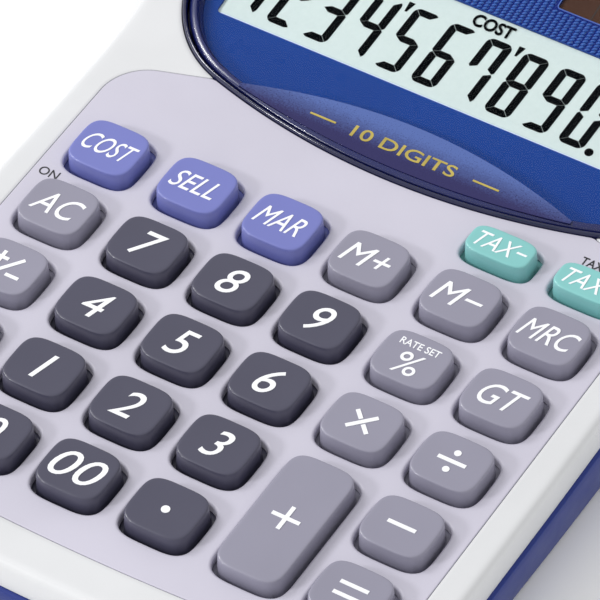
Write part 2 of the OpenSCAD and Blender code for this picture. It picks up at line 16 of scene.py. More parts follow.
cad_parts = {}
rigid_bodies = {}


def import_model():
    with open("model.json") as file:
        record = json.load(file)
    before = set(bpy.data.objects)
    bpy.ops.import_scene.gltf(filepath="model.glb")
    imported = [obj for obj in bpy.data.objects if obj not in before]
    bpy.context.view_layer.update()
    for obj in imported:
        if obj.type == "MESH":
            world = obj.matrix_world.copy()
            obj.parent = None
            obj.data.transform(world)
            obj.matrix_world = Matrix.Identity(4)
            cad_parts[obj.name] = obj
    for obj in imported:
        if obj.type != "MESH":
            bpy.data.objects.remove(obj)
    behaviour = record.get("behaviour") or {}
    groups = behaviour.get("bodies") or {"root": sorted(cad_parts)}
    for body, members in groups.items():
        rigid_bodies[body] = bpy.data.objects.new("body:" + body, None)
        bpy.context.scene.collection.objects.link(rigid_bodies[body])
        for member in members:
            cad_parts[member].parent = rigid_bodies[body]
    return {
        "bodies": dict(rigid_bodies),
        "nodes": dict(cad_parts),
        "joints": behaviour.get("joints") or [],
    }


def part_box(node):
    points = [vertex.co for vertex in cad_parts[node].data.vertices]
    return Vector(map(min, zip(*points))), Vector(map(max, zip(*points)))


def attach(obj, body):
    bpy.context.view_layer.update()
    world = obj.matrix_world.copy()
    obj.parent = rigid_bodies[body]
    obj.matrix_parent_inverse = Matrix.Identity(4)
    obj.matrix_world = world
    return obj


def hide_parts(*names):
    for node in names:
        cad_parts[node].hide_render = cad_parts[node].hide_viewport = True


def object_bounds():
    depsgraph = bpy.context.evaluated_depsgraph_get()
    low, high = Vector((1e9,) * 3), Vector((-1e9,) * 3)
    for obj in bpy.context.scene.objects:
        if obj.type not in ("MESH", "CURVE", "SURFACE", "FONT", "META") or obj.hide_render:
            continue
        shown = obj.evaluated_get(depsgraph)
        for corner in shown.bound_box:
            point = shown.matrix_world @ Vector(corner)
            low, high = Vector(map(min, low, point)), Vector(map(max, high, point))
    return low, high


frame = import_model()
cad_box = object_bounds()

# %% [markdown]
# ## Where the key field lies
# The face of the real calculator leans three degrees towards the user, and the display
# leans further. Every key slides square to the key field, so a key's joint axis is the
# field's normal. All drawing below is in millimetres on that field: x from the middle,
# y from the cost row towards the display, z up from the panel. One helper then turns
# drawn points into the CAD model's metres.

# %% The key field's own axes
MM = 0.001
press_axis = frame["joints"][0]["axis"]
key_tilt = math.atan2(-press_axis[1], press_axis[2])
tilt_cos = math.cos(key_tilt)
tilt_sin = math.sin(key_tilt)


def leaning_box(node):
    """Lowest and highest corner of a CAD node in millimetres, in axes that lean with the keys."""
    points = np.array([v.co for v in frame["nodes"][node].data.vertices]) / MM
    leaning = np.column_stack([
        points[:, 0],
        points[:, 1] * tilt_cos + points[:, 2] * tilt_sin,
        points[:, 2] * tilt_cos - points[:, 1] * tilt_sin,
    ])
    return leaning.min(0), leaning.max(0)


field_y = sum(corner[1] for corner in leaning_box("key_cost")) / 2
field_z = leaning_box("key_panel")[1][2]
print(f"tilt {math.degrees(key_tilt):.2f} degrees, field at y {field_y:.2f}, z {field_z:.2f} mm")


def to_model(points):
    """Metres in the CAD model's frame for points in the key field's millimetres."""
    points = np.asarray(points, float)
    y = points[:, 1] + field_y
    z = points[:, 2] + field_z
    turned = [points[:, 0], y * tilt_cos - z * tilt_sin, y * tilt_sin + z * tilt_cos]
    return np.column_stack(turned) * MM


# %% The face's profile, flat under the keys and bent up to the display
FOLD_START = 19.5
FOLD_RADIUS = 80.0
DISPLAY_TILT = math.radians(10.5)
FOLD_END = FOLD_START + FOLD_RADIUS * math.sin(DISPLAY_TILT)
FOLD_RISE = FOLD_RADIUS * (1 - math.cos(DISPLAY_TILT))


def face_height(y):
    """Height of the calculator's face over the key field at y."""
    y = np.asarray(y, float)
    bend = np.clip(y, FOLD_START, FOLD_END) - FOLD_START
    bent = FOLD_RADIUS - np.sqrt(FOLD_RADIUS**2 - bend**2)
    return bent + np.maximum(y - FOLD_END, 0) * math.tan(DISPLAY_TILT)


def on_face(plan, height):
    """Points over the face, from places in plan and a height above the face."""
    return np.column_stack([plan[:, 0], plan[:, 1], face_height(plan[:, 1]) + height])


def on_display(points):
    """Key field points from points on the display's plane: across, up the display, out."""
    points = np.asarray(points, float)
    along = points[:, 1]
    out = points[:, 2]
    return np.column_stack([
        points[:, 0],
        FOLD_END + along * math.cos(DISPLAY_TILT) - out * math.sin(DISPLAY_TILT),
        FOLD_RISE + along * math.sin(DISPLAY_TILT) + out * math.cos(DISPLAY_TILT),
    ])


def display_points(points):
    """The model's metres from millimetres on the display's plane."""
    return to_model(on_display(points))


print(f"the bend ends at y {FOLD_END:.1f}, {FOLD_RISE:.2f} mm up")

# %% [markdown]
# ## Outlines
# The real shells were drawn from arcs and long shallow bows, so the same arcs are
# written here. Each outline is a function of an inset: a rounded edge is then nothing
# more than the same outline drawn a few times, each one a little further in and a
# little higher.

# %% Arcs, bows and mirrored halves
ARC_STEP = 3.0


def arc(centre_x, centre_y, radius, start, stop):
    """Points along an arc, with angles in degrees."""
    count = math.ceil(abs(stop - start) / ARC_STEP)
    angles = np.radians(np.linspace(start, stop, count + 1))
    return np.column_stack(
        [centre_x + radius * np.cos(angles), centre_y + radius * np.sin(angles)]
    )


def bow(from_x, to_x, height_at, count=16):
    """Points of a shallow curve y = height_at(x), without its last point."""
    x = np.linspace(from_x, to_x, count + 1)[:-1]
    return np.column_stack([x, height_at(x)])


def mirrored(half):
    """A closed outline from its right half, listed from the front round to the back."""
    off_axis = half[half[:, 0] > 1e-6]
    return np.vstack([half, off_axis[::-1] * [-1, 1]])


def ease(t):
    """A smooth step from 0 to 1."""
    return (1 - np.cos(np.pi * np.clip(t, 0, 1))) / 2


# %% The outline of the case
CASE_LENGTH = (cad_box[1].y - cad_box[0].y) / MM
CASE_WIDTH = (cad_box[1].x - cad_box[0].x) / MM
KEY_HALF_WIDTH = 53.2
WAIST_HALF_WIDTH = 52.8
WAIST_Y = 8.0
WAIST_START_Y = -36.0
FLARE_Y = 46.0
FRONT_CORNER = 14.0
BACK_CORNER = 17.0
FRONT_BOW = 400.0
BACK_BOW = 320.0


def case_half_width(y):
    """Half the case's width: a slight waist, then a flare beside the display."""
    waist = ease((y - WAIST_START_Y) / (WAIST_Y - WAIST_START_Y))
    flare = ease((y - WAIST_Y) / (FLARE_Y - WAIST_Y))
    narrow = KEY_HALF_WIDTH - (KEY_HALF_WIDTH - WAIST_HALF_WIDTH) * waist
    return narrow + (CASE_WIDTH / 2 - WAIST_HALF_WIDTH) * flare


def case_outline(inset):
    """The lower shell's outline from above, seen square to the table."""
    front_x = KEY_HALF_WIDTH - FRONT_CORNER
    back_x = CASE_WIDTH / 2 - BACK_CORNER
    front_y = -CASE_LENGTH / 2 + front_x**2 / (2 * FRONT_BOW) + FRONT_CORNER
    back_y = CASE_LENGTH / 2 - back_x**2 / (2 * BACK_BOW) - BACK_CORNER
    front_lean = math.degrees(math.atan(front_x / FRONT_BOW))
    back_lean = math.degrees(math.atan(back_x / BACK_BOW))
    side_y = np.linspace(front_y, back_y, 42)[1:-1]
    side = np.column_stack([case_half_width(side_y) - inset, side_y])
    return mirrored(np.vstack([
        bow(0, front_x, lambda x: x**2 / (2 * FRONT_BOW) - CASE_LENGTH / 2 + inset),
        arc(front_x, front_y, FRONT_CORNER - inset, front_lean - 90, 0),
        side,
        arc(back_x, back_y, BACK_CORNER - inset, 0, 90 - back_lean),
        bow(0, back_x, lambda x: CASE_LENGTH / 2 - x**2 / (2 * BACK_BOW) - inset)[::-1],
    ]))


print(f"case {CASE_WIDTH:.1f} x {CASE_LENGTH:.1f} mm")

# %% The outlines of the display and of the key panel
DISPLAY_FRONT_Y = 16.8
DISPLAY_BOW = 0.00467
DISPLAY_BOW_X = 33.0
DISPLAY_LOW_CORNER = 21.2
DISPLAY_TOP_Y = 82.5
DISPLAY_TOP_CORNER = 12.0
DISPLAY_HALF_WIDTH = 48.0
DISPLAY_TOP_BOW = 300.0


def display_outline(inset):
    """The display field: a bowed front edge, big front corners and a nearly straight top."""
    lean = math.degrees(math.atan(2 * DISPLAY_BOW * DISPLAY_BOW_X))
    low_x = DISPLAY_BOW_X - DISPLAY_LOW_CORNER * math.sin(math.radians(lean))
    low_y = (
        DISPLAY_FRONT_Y
        + DISPLAY_BOW * DISPLAY_BOW_X**2
        + DISPLAY_LOW_CORNER * math.cos(math.radians(lean))
    )
    top_x = DISPLAY_HALF_WIDTH - DISPLAY_TOP_CORNER
    top_y = DISPLAY_TOP_Y - top_x**2 / (2 * DISPLAY_TOP_BOW) - DISPLAY_TOP_CORNER
    top_lean = math.degrees(math.atan(top_x / DISPLAY_TOP_BOW))
    side_y = np.linspace(low_y, top_y, 12)[1:-1]
    side = np.column_stack([np.full(10, DISPLAY_HALF_WIDTH - inset), side_y])
    return mirrored(np.vstack([
        bow(0, DISPLAY_BOW_X, lambda x: DISPLAY_FRONT_Y + DISPLAY_BOW * x**2 + inset, 24),
        arc(low_x, low_y, DISPLAY_LOW_CORNER - inset, lean - 90, 0),
        side,
        arc(top_x, top_y, DISPLAY_TOP_CORNER - inset, 0, 90 - top_lean),
        bow(0, top_x, lambda x: DISPLAY_TOP_Y - x**2 / (2 * DISPLAY_TOP_BOW) - inset)[::-1],
    ]))


PANEL_HALF_WIDTH = 47.15
PANEL_FRONT_Y = -67.4
PANEL_FRONT_CORNER = 10.0
PANEL_TOP_CORNER = 8.0
PANEL_TOP_CORNER_Y = 11.5
PANEL_TOP_ANGLE = 72.0
PANEL_EDGE_X = 25.0


def panel_outline(inset):
    """The key panel before the display's bow is taken out of it."""
    front_x = PANEL_HALF_WIDTH - PANEL_FRONT_CORNER
    front_y = PANEL_FRONT_Y + front_x**2 / (2 * FRONT_BOW) + PANEL_FRONT_CORNER
    top_x = PANEL_HALF_WIDTH - PANEL_TOP_CORNER
    front_lean = math.degrees(math.atan(front_x / FRONT_BOW))
    corner = arc(top_x, PANEL_TOP_CORNER_Y, PANEL_TOP_CORNER - inset, 0, PANEL_TOP_ANGLE)
    edge_run = corner[-1][0] - PANEL_EDGE_X
    edge_end = [PANEL_EDGE_X, corner[-1][1] + edge_run / math.tan(math.radians(PANEL_TOP_ANGLE))]
    return mirrored(np.vstack([
        bow(0, front_x, lambda x: PANEL_FRONT_Y + x**2 / (2 * FRONT_BOW) + inset),
        arc(front_x, front_y, PANEL_FRONT_CORNER - inset, front_lean - 90, 0),
        corner,
        [edge_end],
    ]))


# %% [markdown]
# ## From outlines to closed mouldings
# Two outlines with different corners can't be joined point to point. Shooting the same
# fan of rays from one centre through both gives rings whose points match, and a moulding
# is then a stack of such rings. This beats extruding and bevelling, because every
# radius, taper and thickness stays a number in a list.

# %% A fan of rays and what it hits
ray_angles = np.radians(np.arange(0, 360, 0.5) + 0.25)
RAYS = np.column_stack([np.cos(ray_angles), np.sin(ray_angles)])


def reach(outline, centre, nearest=False):
    """How far each ray from the centre goes to its last, or nearest, crossing of the outline."""
    start = outline - centre
    stop = np.roll(start, -1, axis=0)
    side_start = np.outer(RAYS[:, 0], start[:, 1]) - np.outer(RAYS[:, 1], start[:, 0])
    side_stop = np.outer(RAYS[:, 0], stop[:, 1]) - np.outer(RAYS[:, 1], stop[:, 0])
    gap = side_start - side_stop
    crosses = (side_start * side_stop <= 0) & (np.abs(gap) > 1e-12)
    share = side_start / np.where(crosses, gap, 1.0)
    along = (start @ RAYS.T).T + share * ((stop - start) @ RAYS.T).T
    if nearest:
        return np.where(crosses & (along > 0), along, np.inf).min(1)
    return np.where(crosses & (along > 0), along, 0.0).max(1)


def ray_points(centre, distance):
    """Points in plan at a distance along each ray."""
    return centre + RAYS * distance[:, None]


# %% Meshes and pieces
SHARP_ANGLE = math.radians(38)


def ring_faces(ring_count, size, closed=False, start=0):
    """Quads between neighbouring rings of a stack; closed joins the last ring to the first."""
    faces = []
    for ring in range(ring_count if closed else ring_count - 1):
        here = start + ring * size
        there = start + (ring + 1) % ring_count * size
        for i in range(size):
            j = (i + 1) % size
            faces.append((here + i, here + j, there + j, there + i))
    return faces


def stack_faces(ring_count, size, start=0):
    """Quads between the rings of a stack, with a cap on its first and last ring."""
    last = start + (ring_count - 1) * size
    caps = [tuple(range(start + size - 1, start - 1, -1)), tuple(range(last, last + size))]
    return ring_faces(ring_count, size, start=start) + caps


def new_mesh(name, points, faces):
    """A mesh with outward faces and smooth shading that stops at real edges."""
    mesh = bpy.data.meshes.new(name)
    mesh.from_pydata([tuple(p) for p in points], [], faces)
    work = bmesh.new()
    work.from_mesh(mesh)
    bmesh.ops.remove_doubles(work, verts=work.verts, dist=1e-8)
    bmesh.ops.recalc_face_normals(work, faces=work.faces)
    work.to_mesh(mesh)
    work.free()
    mesh.shade_smooth()
    mesh.set_sharp_from_angle(angle=SHARP_ANGLE)
    return mesh


def add_piece(name, mesh, finish, body="case", stands_for=()):
    """Puts a mesh in the scene as a named piece of the calculator that rides on a body."""
    piece = bpy.data.objects.new(name, mesh)
    bpy.context.scene.collection.objects.link(piece)
    piece.data.materials.clear()
    piece.data.materials.append(finish)
    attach(piece, body)
    if stands_for:
        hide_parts(*stands_for)
    return piece


def add_rings(name, rings, finish, slot, body="case", stands_for=(), closed=False):
    """A piece from a stack of rings on the key field, capped or joined end to end."""
    size = len(rings[0])
    if closed:
        faces = ring_faces(len(rings), size, closed=True)
    else:
        faces = stack_faces(len(rings), size)
    mesh = new_mesh(name, to_model(np.vstack(rings)), faces)
    return add_piece(name, mesh, finish, body=body, stands_for=stands_for)


def joined(shapes):
    """One list of points and faces from several (points, faces) pairs."""
    points = []
    faces = []
    count = 0
    for shape_points, shape_faces in shapes:
        points.append(shape_points)
        faces += [tuple(i + count for i in face) for face in shape_faces]
        count += len(shape_points)
    return np.vstack(points), faces


def add_shapes(name, shapes, finish, body="case", stands_for=(), place_points=np.asarray):
    """One piece from several closed shapes, whose points are placed in the model's metres."""
    points, faces = joined(shapes)
    mesh = new_mesh(name, place_points(points), faces)
    return add_piece(name, mesh, finish, body=body, stands_for=stands_for)


def carve(mesh, cutter_mesh):
    """The mesh with the cutter's volume taken out of it."""
    solid = bpy.data.objects.new("carve_solid", mesh)
    cutter = bpy.data.objects.new("carve_cutter", cutter_mesh)
    for holder in (solid, cutter):
        bpy.context.scene.collection.objects.link(holder)
    step = solid.modifiers.new("carve", "BOOLEAN")
    step.operation = "DIFFERENCE"
    step.solver = "EXACT"
    step.use_self = True
    step.object = cutter
    bpy.context.view_layer.update()
    result = bpy.data.meshes.new_from_object(
        solid.evaluated_get(bpy.context.evaluated_depsgraph_get())
    )
    bpy.data.objects.remove(solid)
    bpy.data.objects.remove(cutter)
    result.shade_smooth()
    result.set_sharp_from_angle(angle=SHARP_ANGLE)
    return result


# %% [markdown]
# ## Finishes
# Almost everything here is injection-moulded plastic. The steel moulds are spark
# eroded, so the surface is a fine even grain that breaks up highlights, with broader,
# very faint differences where the plastic cooled at different speeds. Both come from
# noise in the material. Paint on a texture would fix them to one resolution, while
# noise stays sharp at any distance.

# %% A moulded plastic with grain


def srgb(red, green, blue):
    """A linear colour from 0..255 screen values."""
    parts = [c / 255 for c in (red, green, blue)]
    linear = [c / 12.92 if c <= 0.04045 else ((c + 0.055) / 1.055) ** 2.4 for c in parts]
    return (*linear, 1.0)


def shaded(colour, share):
    """The colour made darker or lighter by a share."""
    return (*[min(1.0, c * share) for c in colour[:3]], 1.0)


def empty_finish(name):
    """A new material with its shader, and its place-in-space source."""
    finish = bpy.data.materials.new(name)
    finish.use_nodes = True
    nodes = finish.node_tree.nodes
    shader = nodes["Principled BSDF"]
    place = nodes.new("ShaderNodeTexCoord")
    return finish, nodes, finish.node_tree.links, shader, place


def noise_field(nodes, links, place, scale, detail=3.0, roughness=0.5):
    """A noise texture over the object's own metres."""
    noise = nodes.new("ShaderNodeTexNoise")
    noise.inputs["Scale"].default_value = scale
    noise.inputs["Detail"].default_value = detail
    noise.inputs["Roughness"].default_value = roughness
    links.new(place.outputs["Object"], noise.inputs["Vector"])
    return noise.outputs["Fac"]


def ramp(nodes, links, source, low, high, start=0.3, stop=0.7):
    """A colour that runs from low to high as the source rises."""
    band = nodes.new("ShaderNodeValToRGB")
    band.color_ramp.elements[0].position = start
    band.color_ramp.elements[0].color = low
    band.color_ramp.elements[1].position = stop
    band.color_ramp.elements[1].color = high
    links.new(source, band.inputs["Fac"])
    return band.outputs["Color"]


def spread(nodes, links, source, low, high):
    """A number that runs from low to high as the source rises."""
    span = nodes.new("ShaderNodeMapRange")
    span.inputs["From Min"].default_value = 0.3
    span.inputs["From Max"].default_value = 0.7
    span.inputs["To Min"].default_value = low
    span.inputs["To Max"].default_value = high
    links.new(source, span.inputs["Value"])
    return span.outputs["Result"]


def relief(nodes, links, source, distance, strength=1.0):
    """A bumped normal from a height source, in metres."""
    bump = nodes.new("ShaderNodeBump")
    bump.inputs["Strength"].default_value = strength
    bump.inputs["Distance"].default_value = distance
    links.new(source, bump.inputs["Height"])
    return bump.outputs["Normal"]


def moulded(name, colour, rough, grain=1.0, coat=0.0, mottle=0.04, shine=0.5):
    """Moulded plastic: grain from the mould, faint mottling and uneven gloss."""
    finish, nodes, links, shader, place = empty_finish(name)
    cloud = noise_field(nodes, links, place, 45.0)
    colours = ramp(nodes, links, cloud, shaded(colour, 1 - mottle), shaded(colour, 1 + mottle))
    links.new(colours, shader.inputs["Base Color"])
    patches = noise_field(nodes, links, place, 220.0)
    gloss = spread(nodes, links, patches, rough - 0.04, rough + 0.04)
    links.new(gloss, shader.inputs["Roughness"])
    pits = noise_field(nodes, links, place, 5200.0, detail=2.0)
    links.new(relief(nodes, links, pits, 0.000012 * grain), shader.inputs["Normal"])
    shader.inputs["Coat Weight"].default_value = coat
    shader.inputs["Coat Roughness"].default_value = 0.1
    shader.inputs["Specular IOR Level"].default_value = shine
    return finish


white_plastic = moulded("white_shell_plastic", srgb(213, 214, 216), 0.42)
blue_plastic = moulded("blue_shell_plastic", srgb(30, 48, 122), 0.4, shine=0.3)
panel_plastic = moulded("lavender_panel_plastic", srgb(196, 193, 207), 0.46, grain=1.3)
rim_plastic = moulded("dark_blue_rim_plastic", srgb(12, 18, 60), 0.14, grain=0.2, coat=0.6)
backing_plastic = moulded("blue_backing_plastic", srgb(26, 64, 140), 0.3, grain=0.3, shine=0.1)
edge_plastic = moulded("window_edge_plastic", srgb(20, 28, 88), 0.2, grain=0.2, shine=0.6)
# The knurl bed's darker blue is painted shade for the gaps between the beads.
bed_painted_shade = moulded("knurl_bed_painted_shade", srgb(16, 38, 116), 0.4, grain=0.3, shine=0.1)
knurl_plastic = moulded("knurled_blue_plastic", srgb(62, 104, 182), 0.28, grain=0.2, shine=0.3)
dark_key_plastic = moulded("dark_key_plastic", srgb(66, 65, 84), 0.36, coat=0.25)
grey_key_plastic = moulded("grey_key_plastic", srgb(139, 137, 154), 0.36, coat=0.25)
blue_key_plastic = moulded("blue_key_plastic", srgb(110, 116, 184), 0.36, coat=0.25)
green_key_plastic = moulded("green_key_plastic", srgb(126, 192, 190), 0.36, coat=0.25)
inner_white_plastic = moulded("inner_plastic", srgb(205, 206, 206), 0.5)
foot_rubber = moulded("foot_rubber", srgb(46, 46, 49), 0.8, grain=3.0)
mat_rubber = moulded("key_mat_rubber", srgb(118, 124, 136), 0.7, grain=2.0)
white_ink = moulded("white_ink", srgb(240, 241, 244), 0.5, grain=0.5, mottle=0.015)
black_ink = moulded("black_ink", srgb(30, 30, 34), 0.5, grain=0.5)
print("plastics ready:", len(bpy.data.materials))

# %% [markdown]
# Metals, clear sheet, the liquid crystal and the solar cell are not moulded plastic, so
# each gets its own recipe. The window is clear sheet with paint behind it. Real
# refraction in a two millimetre sheet hardly moves what lies under it, so a see-through
# shader with a Fresnel mirror on top gives the same look with clean light below.

# %% Clear sheet, metals and the display's own materials


def clear_sheet(name, tint, gloss_rough, index):
    """Clear sheet: it lets light through and mirrors more at a glancing angle."""
    finish = bpy.data.materials.new(name)
    finish.use_nodes = True
    nodes = finish.node_tree.nodes
    links = finish.node_tree.links
    nodes.remove(nodes["Principled BSDF"])
    through = nodes.new("ShaderNodeBsdfTransparent")
    through.inputs["Color"].default_value = tint
    mirror = nodes.new("ShaderNodeBsdfGlossy")
    mirror.inputs["Color"].default_value = (1, 1, 1, 1)
    place = nodes.new("ShaderNodeTexCoord")
    haze = noise_field(nodes, links, place, 60.0)
    links.new(
        spread(nodes, links, haze, gloss_rough, gloss_rough + 0.02), mirror.inputs["Roughness"]
    )
    edge = nodes.new("ShaderNodeFresnel")
    edge.inputs["IOR"].default_value = index
    mix = nodes.new("ShaderNodeMixShader")
    links.new(edge.outputs["Fac"], mix.inputs[0])
    links.new(through.outputs["BSDF"], mix.inputs[1])
    links.new(mirror.outputs["BSDF"], mix.inputs[2])
    links.new(mix.outputs["Shader"], nodes["Material Output"].inputs["Surface"])
    return finish


def metal(name, colour, rough):
    """Bare metal with fine scratches and uneven dulling."""
    finish, nodes, links, shader, place = empty_finish(name)
    dull = noise_field(nodes, links, place, 300.0)
    links.new(
        ramp(nodes, links, dull, shaded(colour, 0.86), shaded(colour, 1.06)),
        shader.inputs["Base Color"],
    )
    links.new(spread(nodes, links, dull, rough, rough + 0.14), shader.inputs["Roughness"])
    scratch = noise_field(nodes, links, place, 3000.0, detail=4.0)
    links.new(relief(nodes, links, scratch, 0.00001), shader.inputs["Normal"])
    shader.inputs["Metallic"].default_value = 1.0
    return finish


def printed(name, low, high, scale, rough, shine=0.5):
    """A plain surface whose two colours mingle in fine specks."""
    finish, nodes, links, shader, place = empty_finish(name)
    specks = noise_field(nodes, links, place, scale, detail=6.0, roughness=0.7)
    links.new(ramp(nodes, links, specks, low, high), shader.inputs["Base Color"])
    links.new(spread(nodes, links, specks, rough, rough + 0.1), shader.inputs["Roughness"])
    shader.inputs["Specular IOR Level"].default_value = shine
    return finish


window_sheet = clear_sheet("clear_window_sheet", (0.99, 0.995, 1.0, 1.0), 0.03, 1.12)
cell_glass = clear_sheet("liquid_crystal_glass", (1.0, 1.0, 1.0, 1.0), 0.12, 1.04)
zinc_metal = metal("zinc_screw_metal", srgb(180, 182, 184), 0.3)
steel_metal = metal("cell_steel_metal", srgb(196, 196, 194), 0.22)
brass_metal = metal("contact_brass_metal", srgb(206, 178, 104), 0.3)
gold_ink = metal("gold_ink", srgb(204, 186, 104), 0.4)
screen_foil = printed("screen_foil", srgb(206, 220, 216), srgb(212, 225, 221), 900.0, 0.6)
crystal_ink = printed("crystal_black", srgb(2, 4, 6), srgb(4, 6, 8), 300.0, 0.8, shine=0.0)
solar_film = printed("solar_film", srgb(68, 44, 34), srgb(82, 56, 44), 500.0, 0.3, shine=0.06)
solar_edge_ink = printed("solar_edge_ink", srgb(70, 100, 180), srgb(84, 114, 192), 700.0, 0.4)
# The screen lip's pale blue is a painted highlight: the light that the lower bevel of the screen
# opening catches.
lip_painted_highlight = printed("screen_lip_painted_highlight", srgb(196, 212, 246), srgb(208, 222, 250), 700.0, 0.4)
circuit_green = printed("circuit_green", srgb(24, 84, 52), srgb(38, 110, 66), 700.0, 0.35)
chip_resin = printed("chip_resin", srgb(20, 20, 22), srgb(34, 34, 36), 1500.0, 0.3)
component_tan = printed("component_tan", srgb(170, 132, 84), srgb(196, 158, 106), 1100.0, 0.45)
ribbon_film = printed("ribbon_film", srgb(202, 160, 84), srgb(222, 180, 102), 500.0, 0.3)
red_sleeve = printed("red_wire_sleeve", srgb(170, 34, 30), srgb(190, 46, 40), 900.0, 0.45)
black_sleeve = printed("black_wire_sleeve", srgb(26, 26, 28), srgb(38, 38, 40), 900.0, 0.45)

# %% [markdown]
# ## The white upper shell
# The upper shell is one ring-shaped moulding: a deck round the key field and display,
# a soft outer edge, and a short wall that leans outwards to the seam. It is stacked as
# a closed band: up from the edge of the well, over the deck, down the wall and back
# underneath. The deck gets extra rings, so that it follows the bend up to the display.

# %% Rings of the upper shell
WELL_CENTRE = np.array([0.0, 15.0])
BAND_DEPTH = 4.75
DECK_THICKNESS = 3.0


def well_ring(grow, depth):
    """The edge of the opening that the key panel and the display lie in."""
    panel = reach(panel_outline(-grow), WELL_CENTRE)
    display = reach(display_outline(-grow), WELL_CENTRE)
    return on_face(ray_points(WELL_CENTRE, np.maximum(panel, display)), -depth)


def table_plan(inset):
    """The case's outline as the same fan of rays sees it, in plan over the table."""
    centre = np.array([0.0, (WELL_CENTRE[1] + field_y) * tilt_cos - field_z * tilt_sin])
    return ray_points(centre, reach(case_outline(inset), centre))


def case_ring(inset, depth):
    """The case's outline at a depth below the face."""
    plan = table_plan(inset)
    y = plan[:, 1] - field_y
    for _ in range(6):
        height = face_height(y) - depth + field_z
        y = (plan[:, 1] + height * tilt_sin) / tilt_cos - field_y
    return on_face(np.column_stack([plan[:, 0], y]), -depth)


def between(first, last, count, depth=0.0):
    """Rings spread over the face between two rings."""
    steps = np.linspace(0, 1, count + 2)[1:-1]
    return [on_face((first + (last - first) * step)[:, :2], -depth) for step in steps]


well_edge = [well_ring(0.1, DECK_THICKNESS), well_ring(0.1, 0.18), well_ring(0.14, 0.06)]
deck_start = well_ring(0.24, 0.0)
deck_stop = case_ring(2.5, 0.0)
EDGE_RADIUS = 1.35
EDGE_INSET = 1.05
edge_turns = np.radians([15, 30, 45, 60, 75, 90])
outer_edge = [
    case_ring(
        EDGE_INSET + EDGE_RADIUS * (1 - math.sin(turn)), EDGE_RADIUS * (1 - math.cos(turn))
    )
    for turn in edge_turns
]
wall = [case_ring(0.62, 4.4), case_ring(0.66, 4.62), case_ring(0.8, BAND_DEPTH)]
under_side = [case_ring(2.5, BAND_DEPTH), case_ring(2.9, DECK_THICKNESS)]
under_deck = between(under_side[-1], well_edge[0], 6, DECK_THICKNESS)
upper_rings = (
    well_edge
    + [deck_start]
    + between(deck_start, deck_stop, 7)
    + [deck_stop]
    + outer_edge
    + wall
    + under_side
    + under_deck
)
add_rings(
    "upper_shell", upper_rings, white_plastic, "white_shell", stands_for=["upper_case"], closed=True
)
print("upper shell rings:", len(upper_rings))

# %% [markdown]
# ## The dark blue tub
# The lower shell is a tub. Its wall comes down from the seam and draws in a little
# towards the table, so the calculator looks thinner than it is. The tub is one stack of
# rings, outside and inside, with the screw wells, the foot recesses and the battery
# recess carved out of its floor. A tube round each screw well is turned like on a lathe.

# %% Rings of the lower shell
FOOT_HEIGHT = 0.8
FLOOR_TOP = 2.8
WALL_THICKNESS = 2.5
DRAFT = 1.0
BOTTOM_RADIUS = 0.65


def table_ring(inset, height):
    """The case's outline at a height over the table, in the model's metres."""
    plan = table_plan(inset)
    heights = np.broadcast_to(height, len(plan))
    return np.column_stack([plan, heights]) * MM


seam_ring = to_model(case_ring(0.0, BAND_DEPTH + 0.35))
seam_heights = seam_ring[:, 2] / MM
wall_foot = FOOT_HEIGHT + BOTTOM_RADIUS
tub_wall = [
    table_ring(DRAFT * share**1.6, seam_heights + (wall_foot - seam_heights) * share)
    for share in np.linspace(0, 1, 7)
]
tub_bottom = [
    table_ring(
        DRAFT + BOTTOM_RADIUS * (1 - math.cos(turn)), wall_foot - BOTTOM_RADIUS * math.sin(turn)
    )
    for turn in np.radians([22.5, 45, 67.5, 90])
]
tub_lip = [
    to_model(case_ring(inset, depth))
    for inset, depth in [(2.4, BAND_DEPTH + 0.02), (0.3, BAND_DEPTH + 0.02), (0.08, 4.87)]
]
tub_inside = [
    table_ring(WALL_THICKNESS + DRAFT, FLOOR_TOP + 0.6),
    table_ring(WALL_THICKNESS + DRAFT + 0.8, FLOOR_TOP),
]
tub_rings = tub_inside[::-1] + tub_lip + tub_wall + tub_bottom
tub_mesh = new_mesh("tub", np.vstack(tub_rings), stack_faces(len(tub_rings), len(RAYS)))
print("tub height", round(float(seam_heights.min()), 1), "to", round(float(seam_heights.max()), 1))

# %% Turned shapes and what they carve
TURN_POINTS = 48


def turned(profile, centre, points=TURN_POINTS):
    """Rings of a shape turned about an upright axis, from (radius, height) pairs, in metres."""
    turns = np.linspace(0, 2 * np.pi, points, endpoint=False)
    return np.vstack([
        np.column_stack([
            centre[0] + radius * np.cos(turns),
            centre[1] + radius * np.sin(turns),
            np.full(points, height),
        ])
        for radius, height in profile
    ]) * MM


def rounded_box_rings(low, high, profile, corner, points=8):
    """Rings of a box with rounded upright corners, from (inset, height) pairs, in millimetres."""
    rings = []
    for inset, height in profile:
        radius = max(corner - inset, 0.05)
        ring = []
        corners = [(high[0], high[1], 0), (low[0], high[1], 90), (low[0], low[1], 180),
                   (high[0], low[1], 270)]
        for x, y, start in corners:
            turns = np.radians(np.linspace(start, start + 90, points))
            middle_x = x - math.copysign(inset + radius, x - (low[0] + high[0]) / 2)
            middle_y = y - math.copysign(inset + radius, y - (low[1] + high[1]) / 2)
            ring.append(np.column_stack([
                middle_x + radius * np.cos(turns),
                middle_y + radius * np.sin(turns),
                np.full(points, height),
            ]))
        rings.append(np.vstack(ring))
    return rings


def box_centres(node, count):
    """Centres in plan, in millimetres, of the separate solids of a CAD node."""
    mesh = frame["nodes"][node].data
    work = bmesh.new()
    work.from_mesh(mesh)
    bmesh.ops.remove_doubles(work, verts=work.verts, dist=1e-7)
    left = set(work.verts)
    centres = []
    while left:
        island = [left.pop()]
        for vert in island:
            for edge in vert.link_edges:
                other = edge.other_vert(vert)
                if other in left:
                    left.discard(other)
                    island.append(other)
        spots = np.array([v.co for v in island]) / MM
        centres.append((spots.min(0) + spots.max(0)) / 2)
    work.free()
    assert len(centres) == count, f"{node} has {len(centres)} solids"
    return centres


